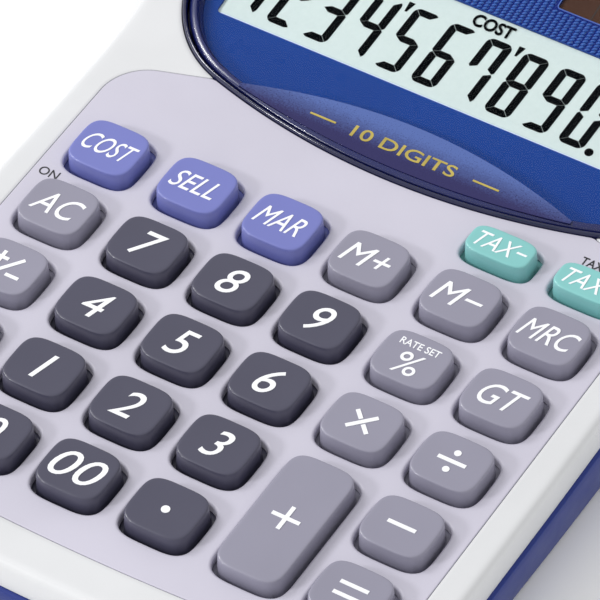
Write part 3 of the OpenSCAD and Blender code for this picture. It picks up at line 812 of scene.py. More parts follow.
foot_spots = box_centres("rubber_feet", 4)
screw_spots = box_centres("case_screws", 6)
cover_low, cover_high = [np.array(corner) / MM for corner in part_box("battery_cover")]
print("feet at", [(round(s[0]), round(s[1])) for s in foot_spots])

# %% The tub with its wells, feet recesses and battery recess
FOOT_RADIUS = 5.5
FOOT_SUNK = 0.6
SCREW_WELL_RADIUS = 2.7
SCREW_GRIP = 3.0
COVER_GAP = 0.2
cutters = []
for spot in foot_spots:
    hole = [(FOOT_RADIUS + 0.1, -1.0), (FOOT_RADIUS + 0.1, FOOT_HEIGHT + FOOT_SUNK)]
    cutters.append((turned(hole, spot), stack_faces(2, TURN_POINTS)))
for spot in screw_spots:
    hole = [(SCREW_WELL_RADIUS + 0.7, -1.0), (SCREW_WELL_RADIUS + 0.3, FOOT_HEIGHT),
            (SCREW_WELL_RADIUS, FOOT_HEIGHT + 0.3), (SCREW_WELL_RADIUS, FLOOR_TOP + 1)]
    cutters.append((turned(hole, spot), stack_faces(4, TURN_POINTS)))
recess = rounded_box_rings(
    cover_low - COVER_GAP, cover_high + COVER_GAP, [(0, -1.0), (0, cover_high[2])], 1.2
)
cutters.append((np.vstack(recess) * MM, stack_faces(2, len(recess[0]))))
lower_mesh = carve(tub_mesh, new_mesh("tub_cutters", *joined(cutters)))
add_piece("lower_shell", lower_mesh, blue_plastic, stands_for=["lower_case"])

POST_RADIUS = 3.6
SHANK_HOLE_RADIUS = 1.45
POST_START = FOOT_HEIGHT + 0.4
SEAT_DROP = SCREW_GRIP - 1.55
POST_REACH = SCREW_GRIP - 0.4
posts = []
for spot in screw_spots:
    head_seat = spot[2] - SEAT_DROP
    post_top = head_seat + POST_REACH
    profile = [(SCREW_WELL_RADIUS, POST_START), (POST_RADIUS, POST_START),
               (POST_RADIUS, post_top), (SHANK_HOLE_RADIUS, post_top),
               (SHANK_HOLE_RADIUS, head_seat), (SCREW_WELL_RADIUS, head_seat)]
    posts.append((turned(profile, spot), ring_faces(6, TURN_POINTS, closed=True)))
add_shapes("screw_posts", posts, blue_plastic)
print("lower shell faces:", len(lower_mesh.polygons))

# %% [markdown]
# ## What is under the calculator
# Four rubber pads keep it from sliding, and a screwed door covers the button cell. The
# pads are pressed, so they have a soft edge and two shallow rings for grip. The door
# has a thin chamfer and three finger ribs.

# %% Feet and battery door
foot_profile = [
    (0.4, 1.3), (FOOT_RADIUS - 0.1, 1.3), (FOOT_RADIUS, 1.1), (FOOT_RADIUS, 0.35),
    (FOOT_RADIUS - 0.1, 0.12), (FOOT_RADIUS - 0.4, 0.0), (4.1, 0.0), (3.95, 0.18),
    (3.65, 0.18), (3.5, 0.0), (2.3, 0.0), (2.15, 0.18), (1.85, 0.18), (1.7, 0.0), (0.4, 0.0),
]
feet = [(turned(foot_profile, spot), stack_faces(15, TURN_POINTS)) for spot in foot_spots]
add_shapes("grip_feet", feet, foot_rubber, stands_for=["rubber_feet"])

door_rings = rounded_box_rings(
    cover_low, cover_high,
    [(0.0, cover_high[2]), (0.0, cover_low[2] + 0.3), (0.1, cover_low[2] + 0.08),
     (0.35, cover_low[2])], 1.0,
)
door_mesh = new_mesh(
    "battery_door", np.vstack(door_rings) * MM, stack_faces(4, len(door_rings[0]))
)
door_cuts = []
door_middle = (cover_low + cover_high) / 2
DOOR_SCREW_X = 15.2
for side in (-1, 1):
    spot = door_middle + [side * DOOR_SCREW_X, 0, 0]
    well = [(2.4, cover_low[2] - 0.5), (2.1, cover_low[2] + 0.2), (2.1, cover_low[2] + 0.9),
            (1.2, cover_low[2] + 0.9), (1.2, cover_high[2] + 1)]
    door_cuts.append((turned(well, spot), stack_faces(5, TURN_POINTS)))
for rib in range(3):
    x = door_middle[0] + (rib - 1) * 2.2
    groove = rounded_box_rings(
        np.array([x - 0.5, door_middle[1] - 6]), np.array([x + 0.5, door_middle[1] + 6]),
        [(-0.15, cover_low[2] - 0.4), (0.0, cover_low[2] + 0.1), (0.2, cover_low[2] + 0.5)], 0.45,
    )
    door_cuts.append((np.vstack(groove) * MM, stack_faces(3, len(groove[0]))))
door_mesh = carve(door_mesh, new_mesh("door_cutters", *joined(door_cuts)))
add_piece("battery_door", door_mesh, blue_plastic, stands_for=["battery_cover"])
print("feet and door made")

# %% [markdown]
# ## Keys
# A key is a hollow cap: a slightly dished top, a tight rounded rim, sides that spread
# towards the panel, a flange that the panel holds down and a plunger that presses the
# rubber dome. Seen from above it is a squared oval. The same stack of rings makes all
# of them, outside and inside, and only the width, the depth and the tall key's extra
# length differ.

# %% One key cap
KEY_POINTS = 64
KEY_POWER = 4.0
KEY_FLARE = 0.1
KEY_GAP = 0.7
FLANGE_LAP = 0.5
FLANGE_GROW = KEY_FLARE + KEY_GAP + FLANGE_LAP
FLANGE_TOP = -2.0
FLANGE_BOTTOM = -2.8
PLUNGER_END = -3.4
TOP_DISH = 0.1
CEILING = 1.05
HOLLOW_INSET = 1.4
TOP_FLAT_INSET = 0.45
ROW_DEPTH = 9.6
TALL_LENGTH = 15.0
SMALL_DEPTH = 7.0
PLUNGER = 5.0
SMALL_PLUNGER = 2.4


def key_ring(width, depth, stretch, height, power=KEY_POWER):
    """A squared oval ring whose two halves are pulled apart by stretch."""
    turns = (np.arange(KEY_POINTS) + 0.5) * 2 * np.pi / KEY_POINTS
    across = np.sign(np.cos(turns)) * np.abs(np.cos(turns)) ** (2 / power)
    along = np.sign(np.sin(turns)) * np.abs(np.sin(turns)) ** (2 / power)
    y = along * depth / 2 + np.sign(along) * stretch / 2
    return np.column_stack([across * width / 2, y, np.full(KEY_POINTS, height)])


def key_rings(width, depth, stretch, rise):
    """All rings of a key cap, from the middle of its top round to its plunger."""
    rings = []
    for share in (0.08, 0.3, 0.55, 0.78, 0.92):
        dish = rise - TOP_DISH * (1 - share**2)
        rings.append(
            key_ring((width - 2 * TOP_FLAT_INSET) * share, (depth - 2 * TOP_FLAT_INSET) * share,
                     stretch * share, dish)
        )
    rim = [(-TOP_FLAT_INSET, 0.0), (-0.27, -0.008), (-0.16, -0.035), (-0.08, -0.085), (-0.03, -0.15),
           (0.0, -0.22)]
    for grow, drop in rim:
        rings.append(key_ring(width + 2 * grow, depth + 2 * grow, stretch, rise + drop))
    side_start = rise + rim[-1][1]
    for share in (0.33, 0.66, 1.0):
        grow = rim[-1][0] + (KEY_FLARE - rim[-1][0]) * share**1.15
        height = side_start * (1 - share)
        rings.append(key_ring(width + 2 * grow, depth + 2 * grow, stretch, height))
    skirt = [(KEY_FLARE, FLANGE_TOP + 0.15), (KEY_FLARE + 0.15, FLANGE_TOP),
             (FLANGE_GROW, FLANGE_TOP), (FLANGE_GROW, FLANGE_BOTTOM), (-HOLLOW_INSET, FLANGE_BOTTOM),
             (-HOLLOW_INSET, CEILING - 0.3), (-HOLLOW_INSET - 0.3, CEILING)]
    for grow, height in skirt:
        rings.append(key_ring(width + 2 * grow, depth + 2 * grow, stretch, height))
    plunger = PLUNGER if depth > SMALL_DEPTH else SMALL_PLUNGER
    for height in (CEILING, PLUNGER_END):
        rings.append(key_ring(plunger, plunger, stretch, height, power=2.0))
    return rings


# %% Every key at its place
key_names = [name for name in frame["bodies"] if name.startswith("key_")]
BLUE_KEYS = ["key_cost", "key_sell", "key_mar"]
GREEN_KEYS = ["key_tax_minus", "key_tax_plus"]
DARK_KEYS = [f"key_{digit}" for digit in range(10)] + ["key_double_zero", "key_decimal"]


def key_finish(name):
    """The plastic and material slot of a key, by its group."""
    if name in BLUE_KEYS:
        return blue_key_plastic, "blue_key"
    if name in GREEN_KEYS:
        return green_key_plastic, "green_key"
    if name in DARK_KEYS:
        return dark_key_plastic, "dark_key"
    return grey_key_plastic, "grey_key"


key_tops = {}
for name in key_names:
    low, high = leaning_box(name)
    width = high[0] - low[0] - 2 * FLANGE_GROW
    length = high[1] - low[1] - 2 * FLANGE_GROW
    stretch = length - ROW_DEPTH if length > TALL_LENGTH else 0.0
    rise = high[2] - field_z
    centre = np.array([(low[0] + high[0]) / 2, (low[1] + high[1]) / 2 - field_y, 0.0])
    rings = [ring + centre for ring in key_rings(width, length - stretch, stretch, rise)]
    add_rings(f"{name}_cap", rings, *key_finish(name), body=name, stands_for=[name])
    key_tops[name] = (centre, width, length - stretch, stretch, rise)
print("keys:", len(key_tops), "rise", round(key_tops["key_5"][4], 2))

# %% [markdown]
# ## The key panel
# The lavender panel is a thin plate with one opening per key. The edge of each opening
# is softly rounded, which catches the light as a thin bright line. The flat face is
# filled between all the openings at once, and the rounded edges hang from it as short
# stacks of rings.

# %% Openings and the panel's own edge
PANEL_THICKNESS = 1.6
OPENING_RADIUS = 0.45
PANEL_CENTRE = np.array([0.0, -20.0])
PANEL_SEAM = 0.1


def panel_ring(inset, height):
    """The panel's edge: its own outline, cut short by the display's bow."""
    own = reach(panel_outline(inset), PANEL_CENTRE)
    display = reach(display_outline(-PANEL_SEAM - inset), PANEL_CENTRE, nearest=True)
    plan = ray_points(PANEL_CENTRE, np.minimum(own, display))
    return np.column_stack([plan, np.full(len(plan), height)])


def rounded_edge(radius):
    """(distance in from the edge, height) pairs of a rounded edge, from the flat outwards."""
    turns = np.radians([90, 68, 45, 22, 0])
    arc_part = [(radius * (1 - math.cos(t)), -radius * (1 - math.sin(t))) for t in turns]
    return [(radius + 0.06, 0.0)] + arc_part + [(0.0, -PANEL_THICKNESS)]


def opening_rings(name):
    """Rings of a key's opening, from the flat face down through the plate."""
    centre, width, depth, stretch, _ = key_tops[name]
    rings = []
    for away, height in rounded_edge(OPENING_RADIUS):
        grow = KEY_FLARE + KEY_GAP + away
        ring = key_ring(width + 2 * grow, depth + 2 * grow, stretch, height)
        rings.append(ring + centre)
    return rings


def plate_with_holes(name, edge_rings, hole_stacks, place_points):
    """A closed plate: flat face and back filled round the holes, walls from the rings."""
    work = bmesh.new()
    front_edges = []
    back_edges = []
    for stack in [edge_rings] + hole_stacks:
        loops = [[work.verts.new(p) for p in place_points(ring)] for ring in stack]
        size = len(loops[0])
        for upper, lower in zip(loops, loops[1:]):
            for i in range(size):
                j = (i + 1) % size
                work.faces.new((upper[i], upper[j], lower[j], lower[i]))
        front_edges += [work.edges.get((loops[0][i], loops[0][i - 1])) for i in range(size)]
        back_edges += [work.edges.get((loops[-1][i], loops[-1][i - 1])) for i in range(size)]
    bmesh.ops.triangle_fill(work, edges=front_edges, use_beauty=True)
    bmesh.ops.triangle_fill(work, edges=back_edges, use_beauty=True)
    bmesh.ops.recalc_face_normals(work, faces=work.faces)
    mesh = bpy.data.meshes.new(name)
    work.to_mesh(mesh)
    work.free()
    mesh.shade_smooth()
    mesh.set_sharp_from_angle(angle=SHARP_ANGLE)
    return mesh


panel_edge = [panel_ring(away, height) for away, height in rounded_edge(0.16)]
panel_mesh = plate_with_holes(
    "face_plate", panel_edge, [opening_rings(name) for name in key_names], to_model
)
add_piece("face_plate", panel_mesh, panel_plastic, stands_for=["key_panel"])
print("panel faces:", len(panel_mesh.polygons))

# %% [markdown]
# ## The display
# The display is a sandwich. A dark blue rim stands a little proud of the deck, a clear
# window with a rounded shoulder sits in it, and a blue plate lies under the window with
# openings for the liquid crystal and the solar cell. Paint follows the window's shoulder
# down to the plate. Above the screen the plate is knurled. All of it follows the bend of
# the face, so rings are lifted on to the face after they are drawn.

# %% Rim and window
RIM_PROUD = 0.6
WINDOW_PROUD = 0.45
WINDOW_DEPTH = 1.35
PLATE_DEPTH = 1.7
BACKING_DEPTH = 2.1
DISPLAY_MIDDLE = np.array([0.0, 48.0])


def display_ring(inset, height):
    """The display's outline, drawn in by an inset, at a height over the face."""
    return on_face(display_outline(inset), height)


def shrinking(ring, shares, height):
    """Rings that run in from a ring towards the middle of the display."""
    plan = ring[:, :2]
    return [on_face(DISPLAY_MIDDLE + (plan - DISPLAY_MIDDLE) * s, height) for s in shares]


rim_profile = [
    (0.04, -3.0), (0.04, 0.3), (0.09, 0.45), (0.19, 0.55), (0.32, RIM_PROUD), (0.45, 0.55),
    (0.56, 0.42), (0.66, 0.2), (0.76, -0.1), (0.88, -0.5), (0.9, -2.2), (3.0, -2.2), (3.0, -3.0),
]
rim_rings = [display_ring(inset, height) for inset, height in rim_profile]
add_rings(
    "display_rim", rim_rings, rim_plastic, "dark_blue_rim", stands_for=["display_frame"], closed=True
)

SHOULDER_INSET = 2.7
shoulder = [(1.02, -0.5), (1.04, -0.25), (1.12, -0.04), (1.28, 0.13), (1.52, 0.27),
            (1.85, 0.37), (2.25, 0.43), (SHOULDER_INSET, WINDOW_PROUD)]
INWARD = [0.93, 0.86, 0.79, 0.72, 0.65, 0.58, 0.5, 0.42, 0.34, 0.25, 0.15, 0.05]
window_rings = shrinking(display_ring(1.02, 0), INWARD[::-1], -WINDOW_DEPTH)
window_rings.append(display_ring(1.02, -WINDOW_DEPTH))
window_rings += [display_ring(inset, height) for inset, height in shoulder]
window_rings += shrinking(display_ring(SHOULDER_INSET, 0), INWARD, WINDOW_PROUD)
add_rings(
    "window_pane", window_rings, window_sheet, "clear_window", stands_for=["display_window"]
)
print("rim and window rings:", len(rim_rings), len(window_rings))

# %% The blue plate under the window
SCREEN_HALF = 41.0
SCREEN_LOW = 0.25
SCREEN_HIGH = 18.25
SOLAR_LEFT = 6.5
SOLAR_LOW = 23.6
SOLAR_HIGH = 35.3
PLATE_INSET = 1.1

plate_rings = shrinking(display_ring(PLATE_INSET, 0), INWARD[::-1], -BACKING_DEPTH)
plate_rings += [display_ring(PLATE_INSET, -BACKING_DEPTH), display_ring(PLATE_INSET, -PLATE_DEPTH)]
plate_rings += shrinking(display_ring(PLATE_INSET, 0), INWARD, -PLATE_DEPTH)
plate_mesh = new_mesh(
    "window_plate",
    to_model(np.vstack(plate_rings)),
    stack_faces(len(plate_rings), len(plate_rings[0])),
)


def display_block(left, low, right, high, top, bottom, corner):
    """A block with rounded corners that stands square to the display."""
    rings = rounded_box_rings(
        np.array([left, low]), np.array([right, high]), [(0, bottom), (0, top)], corner
    )
    return display_points(np.vstack(rings)), stack_faces(2, len(rings[0]))


windows = [
    display_block(-SCREEN_HALF, SCREEN_LOW, SCREEN_HALF, SCREEN_HIGH, 4, -6, 0.8),
    display_block(SOLAR_LEFT, SOLAR_LOW, SCREEN_HALF, SOLAR_HIGH, 4, -6, 0.5),
]
plate_mesh = carve(plate_mesh, new_mesh("plate_cutters", *joined(windows)))
add_piece(
    "window_plate", plate_mesh, backing_plastic, stands_for=["display_backing"]
)

PAINT_END = -PLATE_DEPTH + 0.02
edge_profile = [
    (1.08, -0.5), (1.1, -0.28), (1.18, -0.09), (1.33, 0.07), (1.56, 0.2), (1.88, 0.3), (2.2, 0.34),
    (2.5, 0.1), (2.8, -0.6), (3.1, -1.35), (3.2, PAINT_END), (1.1, PAINT_END),
]
edge_rings = [display_ring(inset, height) for inset, height in edge_profile]
add_rings("window_edge_paint", edge_rings, edge_plastic, "blue_backing", closed=True)
print("plate faces:", len(plate_mesh.polygons))

# %% [markdown]
# ## The knurled field
# Over the screen the plate is covered with columns of short slanted beads, like twisted
# cord. A bump texture would look flat from the side and wouldn't reach the exported
# mesh, so each bead is a small closed shape of its own. They are all copies of one
# stretched dome, over a darker bed that shows between them as painted shade.

# %% Beads like twisted cord
BEAD_PITCH = 1.0
BEAD_STEP = 0.6
BEAD_LENGTH = 0.98
BEAD_WIDTH = 0.42
BEAD_HEIGHT = 0.3
BEAD_SLANT = math.radians(33)
KNURL_LOW = 18.35
KNURL_HIGH = 41.0
SOLAR_BORDER = 0.45


def bead():
    """Points and faces of one bead: two rings and a top point over a flat base."""
    turns = np.linspace(0, 2 * np.pi, 9)[:-1]
    circle = np.column_stack([np.cos(turns), np.sin(turns)])
    rings = []
    for share, height in ((1.0, -0.1), (0.97, 0.3), (0.62, 0.82)):
        flat = circle * share * [BEAD_LENGTH / 2, BEAD_WIDTH / 2]
        rings.append(np.column_stack([flat, np.full(8, height * BEAD_HEIGHT)]))
    points = np.vstack(rings + [[[0, 0, BEAD_HEIGHT]]])
    faces = ring_faces(3, 8) + [tuple(range(7, -1, -1))]
    faces += [(16 + i, 16 + (i + 1) % 8, 24) for i in range(8)]
    turn = np.array([[math.cos(BEAD_SLANT), math.sin(BEAD_SLANT)],
                     [-math.sin(BEAD_SLANT), math.cos(BEAD_SLANT)]])
    points[:, :2] = points[:, :2] @ turn
    return points, faces


columns = np.arange(-SCREEN_HALF + BEAD_PITCH / 2, SCREEN_HALF, BEAD_PITCH)
rows = np.arange(KNURL_LOW + BEAD_STEP / 2, KNURL_HIGH, BEAD_STEP)
spots = np.array([(x, v) for x in columns for v in rows])
over_solar = (
    (spots[:, 0] > SOLAR_LEFT - SOLAR_BORDER)
    & (spots[:, 1] > SOLAR_LOW - SOLAR_BORDER)
    & (spots[:, 1] < SOLAR_HIGH + SOLAR_BORDER)
)
spots = spots[~over_solar]
# The bed lies over the plate in a darker blue: painted shade that shows between the beads.
bed = display_block(
    -SCREEN_HALF, KNURL_LOW, SCREEN_HALF, KNURL_HIGH, -PLATE_DEPTH + 0.04, -PLATE_DEPTH - 0.1, 0.6
)
bed_mesh = carve(new_mesh("knurl_bed", *bed), new_mesh("bed_cutters", *joined(windows)))
add_piece("knurl_bed", bed_mesh, bed_painted_shade)
bead_points, bead_faces = bead()
beads = [(bead_points + [x, v, -PLATE_DEPTH], bead_faces) for x, v in spots]
add_shapes("knurled_field", beads, knurl_plastic, place_points=display_points)
print("beads:", len(spots))

# %% [markdown]
# ## Screen and solar cell
# The screen shows a ten digit number in seven-bar figures. The bars are thin solids
# that lie on a pale face right under them. Over the foil, deeper down, they would cast
# a wide shadow that greys the whole screen. The figures have rounded outer corners and
# hair-thin gaps between their bars.

# %% Seven-bar figures
DIGIT_WIDTH = 4.4
DIGIT_HEIGHT = 12.2
DIGIT_LOW = 2.35
DIGIT_PITCH = 6.475
LAST_DIGIT_X = 20.85
UPRIGHT = 1.3
CROSSBAR = 1.2
BAR_GAP = 0.05
LEAN = 0.07
BAR_CORNER = 1.1
NOTCH = 0.3
BAR_THICKNESS = 0.05
INK_HEIGHT = -2.08
mid = DIGIT_HEIGHT / 2
half_bar = CROSSBAR / 2
top = DIGIT_HEIGHT
right = DIGIT_WIDTH


def corner_arc(x, y, start, stop):
    """Points of a figure's rounded outer corner, from its centre and two angles."""
    turns = np.radians(np.linspace(start, stop, 6))
    return [(x + BAR_CORNER * math.cos(t), y + BAR_CORNER * math.sin(t)) for t in turns]


BARS = {
    "a": corner_arc(BAR_CORNER + BAR_GAP, top - BAR_CORNER, 135, 90)
    + corner_arc(right - BAR_CORNER - BAR_GAP, top - BAR_CORNER, 90, 45)
    + [(right - UPRIGHT - BAR_GAP, top - CROSSBAR), (UPRIGHT + BAR_GAP, top - CROSSBAR)],
    "f": corner_arc(BAR_CORNER, top - BAR_CORNER - BAR_GAP, 135, 180)
    + [(0, mid + NOTCH + BAR_GAP), (NOTCH, mid + BAR_GAP), (UPRIGHT, mid + half_bar + BAR_GAP),
       (UPRIGHT, top - CROSSBAR - BAR_GAP)],
    "g": [(NOTCH + BAR_GAP, mid), (UPRIGHT + BAR_GAP, mid + half_bar),
          (right - UPRIGHT - BAR_GAP, mid + half_bar), (right - NOTCH - BAR_GAP, mid),
          (right - UPRIGHT - BAR_GAP, mid - half_bar), (UPRIGHT + BAR_GAP, mid - half_bar)],
}
BARS["b"] = [(right - x, y) for x, y in BARS["f"]]
BARS["c"] = [(x, top - y) for x, y in BARS["b"]]
BARS["d"] = [(x, top - y) for x, y in BARS["a"]]
BARS["e"] = [(x, top - y) for x, y in BARS["f"]]
FIGURES = {
    "0": "abcdef", "1": "bc", "2": "abged", "3": "abgcd", "4": "fgbc", "5": "afgcd",
    "6": "afgedc", "7": "fabc", "8": "abcdefg", "9": "abcdfg",
}


def flat_solid(outline, low, high, place_points):
    """A thin solid over an outline, between two heights."""
    outline = np.array(outline, float)
    rings = [np.column_stack([outline, np.full(len(outline), z)]) for z in (low, high)]
    return place_points(np.vstack(rings)), stack_faces(2, len(outline))


def circle_outline(x, y, radius, points=20):
    """A circle as an outline."""
    turns = np.linspace(0, 2 * np.pi, points, endpoint=False)
    return np.column_stack([x + radius * np.cos(turns), y + radius * np.sin(turns)])


INK_GAP = 0.01
screen_face = display_block(
    -SCREEN_HALF + INK_GAP, SCREEN_LOW + INK_GAP, SCREEN_HALF - INK_GAP, SCREEN_HIGH - INK_GAP,
    INK_HEIGHT - INK_GAP, INK_HEIGHT - 0.06, 0.8,
)
add_shapes("screen_face", [screen_face], screen_foil)
NUMBER = "1234567890"
bars = []
for place, figure in enumerate(NUMBER):
    middle = LAST_DIGIT_X - DIGIT_PITCH * (len(NUMBER) - 1 - place)
    for letter in FIGURES[figure]:
        outline = [
            (middle - DIGIT_WIDTH / 2 + x + LEAN * (y - mid), DIGIT_LOW + y)
            for x, y in BARS[letter]
        ]
        bars.append(outline)
MARK_LOW = 13.1
MARK_HIGH = 15.0
for x in (-33.9, -14.4, 5.1):
    bars.append([(x - 0.3, MARK_LOW), (x + 0.05, MARK_LOW), (x + 0.62, MARK_HIGH),
                 (x - 0.42, MARK_HIGH)])
bars.append(circle_outline(23.8, 2.5, 0.7))
ink_shapes = [
    flat_solid(bar, INK_HEIGHT, INK_HEIGHT + BAR_THICKNESS, display_points) for bar in bars
]
add_shapes("screen_figures", ink_shapes, crystal_ink)
print("bars on the screen:", len(bars))

# %% The solar cell's divisions and its border
CELL_WIDTH = 5.85
FILM_TOP = -2.1
division_xs = [SOLAR_LEFT - 0.3 + CELL_WIDTH * step for step in range(1, 6)]
divisions = [
    display_block(x - 0.11, SOLAR_LOW - 0.5, x + 0.11, SOLAR_HIGH + 0.5, FILM_TOP + 0.02,
                  FILM_TOP - 0.1, 0.05)
    for x in division_xs
]
add_shapes("solar_divisions", divisions, chip_resin)

BORDER_WIDTH = 0.16


def frame_block(left, low, right, high, width, top, bottom, corner):
    """A flat frame round a rectangle on the display's plane."""
    spans = [(0, bottom), (0, top), (-width, top), (-width, bottom)]
    rings = rounded_box_rings(
        np.array([left, low]), np.array([right, high]), spans, corner
    )
    return display_points(np.vstack(rings)), ring_faces(4, len(rings[0]), closed=True)


border = frame_block(
    SOLAR_LEFT, SOLAR_LOW, SCREEN_HALF, SOLAR_HIGH, BORDER_WIDTH,
    -PLATE_DEPTH + 0.12, -PLATE_DEPTH - 0.2, 0.5,
)
add_shapes("solar_border", [border], solar_edge_ink)
# A pale strip along the screen opening's lower edge is a painted highlight for the light on the
# opening's bevel. The upper edge, which lies in shade, gets none.
screen_lip = display_block(
    -SCREEN_HALF + 0.8, SCREEN_LOW - 0.02, SCREEN_HALF - 0.8, SCREEN_LOW + 0.14,
    -PLATE_DEPTH + 0.02, -PLATE_DEPTH - 0.3, 0.06,
)
add_shapes("screen_lip", [screen_lip], lip_painted_highlight)
print("solar divisions:", len(divisions))

# %% [markdown]
# ## The crescent
# A thin metallised crescent is set into the window's front edge. Its colour runs from
# light blue at its upper bow down to indigo, with a fine sparkle. The gradient follows
# the crescent's own height, so it is built from the object's coordinates and not from
# the view.

# %% Crescent and its finish
TRIM_HALF_WIDTH = 30.0
TRIM_LOW_Y = 18.9
TRIM_HIGH_Y = 27.6
TRIM_TIP_Y = 22.35
TRIM_STEPS = 60
trim_shares = np.linspace(-1, 1, TRIM_STEPS + 1)
trim_x = trim_shares * TRIM_HALF_WIDTH
trim_low = TRIM_LOW_Y + (TRIM_TIP_Y - TRIM_LOW_Y) * trim_shares**2
trim_high = TRIM_HIGH_Y - (TRIM_HIGH_Y - TRIM_TIP_Y) * trim_shares**2
TRIM_ROWS = 9
trim_columns = []
for x, low, high in zip(trim_x[1:-1], trim_low[1:-1], trim_high[1:-1]):
    rows_y = np.linspace(low, high, TRIM_ROWS)
    plan = np.column_stack([np.full(TRIM_ROWS, x), rows_y])
    face = on_face(plan, WINDOW_PROUD + 0.05)
    back = on_face(plan, WINDOW_PROUD - 0.25)
    trim_columns.append(np.vstack([face, back[::-1]]))


def crescent_finish():
    """Metallic paint that runs from indigo to light blue up the crescent, with sparkle."""
    finish, nodes, links, shader, place = empty_finish("crescent_metal_paint")
    low_point, high_point = to_model(on_face(np.array([[0, 19.5], [0, 27.8]]), 0))
    parts = nodes.new("ShaderNodeSeparateXYZ")
    links.new(place.outputs["Object"], parts.inputs["Vector"])
    height = nodes.new("ShaderNodeMapRange")
    height.inputs["From Min"].default_value = low_point[1]
    height.inputs["From Max"].default_value = high_point[1]
    links.new(parts.outputs["Y"], height.inputs["Value"])
    sparkle = noise_field(nodes, links, place, 4600.0, detail=2.0)
    mixed = nodes.new("ShaderNodeMath")
    mixed.operation = "MULTIPLY_ADD"
    mixed.inputs[1].default_value = 0.5
    links.new(sparkle, mixed.inputs[0])
    links.new(height.outputs["Result"], mixed.inputs[2])
    colours = ramp(
        nodes, links, mixed.outputs["Value"], srgb(34, 30, 92), srgb(84, 108, 176), 0.45, 1.2
    )
    links.new(colours, shader.inputs["Base Color"])
    links.new(spread(nodes, links, sparkle, 0.25, 0.45), shader.inputs["Roughness"])
    shader.inputs["Metallic"].default_value = 0.55
    shader.inputs["Coat Weight"].default_value = 0.4
    return finish


add_rings(
    "crescent_plate", trim_columns, crescent_finish(), "crescent_metal",
    stands_for=["crescent_trim"],
)
print("crescent columns:", len(trim_columns))

# %% [markdown]
# ## Printing
# The figures and signs are printed on the caps and slightly raised, as thick ink is.
# Blender's own typeface gives clean outlines. Each word becomes a thin closed mesh that
# is scaled to its height on the key, leaned a little and laid on the cap, and it rides
# on the cap's own body so that it goes down with it.

# %% Lettering as thin solids


def letter_mesh(text, weight):
    """A flat solid for a word, with its height range for a capital letter."""
    curve = bpy.data.curves.new("lettering", "FONT")
    curve.body = text
    curve.align_x = "CENTER"
    curve.offset = weight
    curve.extrude = 0.5
    curve.resolution_u = 5
    holder = bpy.data.objects.new("lettering", curve)
    bpy.context.scene.collection.objects.link(holder)
    bpy.context.view_layer.update()
    graph = bpy.context.evaluated_depsgraph_get()
    mesh = bpy.data.meshes.new_from_object(holder.evaluated_get(graph))
    bpy.data.objects.remove(holder)
    points = np.array([v.co for v in mesh.vertices])
    faces = [tuple(p.vertices) for p in mesh.polygons]
    return points, faces


CAPITAL = letter_mesh("H", 0.0)[0]
CAP_HEIGHT = CAPITAL[:, 1].max() - CAPITAL[:, 1].min()
INK_THICKNESS = 0.05
INK_BELOW = 0.12


def lettering(text, height, centre, surface, weight=0.02, lean=0.0, width=None, lift=None):
    """Points and faces of a word: its capitals' height, its centre and the surface it lies on."""
    points, faces = letter_mesh(text, weight)
    scale = height / CAP_HEIGHT
    flat = points[:, :2] * scale
    flat[:, 0] -= (flat[:, 0].max() + flat[:, 0].min()) / 2
    if width is not None:
        flat[:, 0] *= width / (flat[:, 0].max() - flat[:, 0].min())
    flat[:, 1] -= height / 2 if lift is None else lift
    flat[:, 0] += lean * flat[:, 1]
    raised = np.where(points[:, 2] > 0, INK_THICKNESS, -INK_BELOW)
    return np.column_stack([flat + centre, raised + surface]), faces


def key_face(name):
    """The middle of a key's top in plan, and the height that its print lies on."""
    centre, _, _, _, rise = key_tops[name]
    return centre[:2], rise - TOP_DISH / 2


def print_key(name, shapes):
    """The raised white print of a key, which rides on the key's own body."""
    add_shapes(
        f"{name}_print", shapes, white_ink, body=name, place_points=to_model
    )


def sign_shape(outlines, centre, surface):
    """Points and faces of a sign drawn as flat outlines round a centre."""
    shapes = []
    for outline in outlines:
        moved = np.array(outline, float) + centre
        shapes.append(
            flat_solid(moved, surface - INK_BELOW, surface + INK_THICKNESS, np.asarray)
        )
    return joined(shapes)


def stroke(start, stop, width):
    """A straight stroke as an outline."""
    start = np.array(start, float)
    stop = np.array(stop, float)
    along = (stop - start) / np.linalg.norm(stop - start)
    side = np.array([-along[1], along[0]]) * width / 2
    return [start - side, stop - side, stop + side, start + side]


# %% Figures and words on the keys
LEGEND_LEAN = 0.284
FIGURE_HEIGHT = 5.1
FIGURE_WEIGHT = 0.0
WORDS = {
    "key_cost": ("COST", 3.5, 8.1), "key_sell": ("SELL", 3.5, 7.6), "key_mar": ("MAR", 3.7, 7.6),
    "key_memory_plus": ("M+", 4.1, 7.2), "key_memory_minus": ("M−", 4.1, 7.2),
    "key_memory_recall": ("MRC", 3.8, 8.2), "key_all_clear": ("AC", 4.2, 6.8),
    "key_grand_total": ("GT", 4.2, 6.4), "key_clear": ("C", 4.2, None),
    "key_tax_minus": ("TAX−", 3.0, 8.65), "key_tax_plus": ("TAX+", 3.0, 8.65),
    "key_double_zero": ("00", 5.1, 7.9),
}
for digit in range(10):
    WORDS[f"key_{digit}"] = (str(digit), FIGURE_HEIGHT, None)
for name, (text, height, width) in WORDS.items():
    word = lettering(
        text, height, *key_face(name), weight=FIGURE_WEIGHT, lean=LEGEND_LEAN, width=width
    )
    print_key(name, [word])
print("words printed:", len(WORDS))

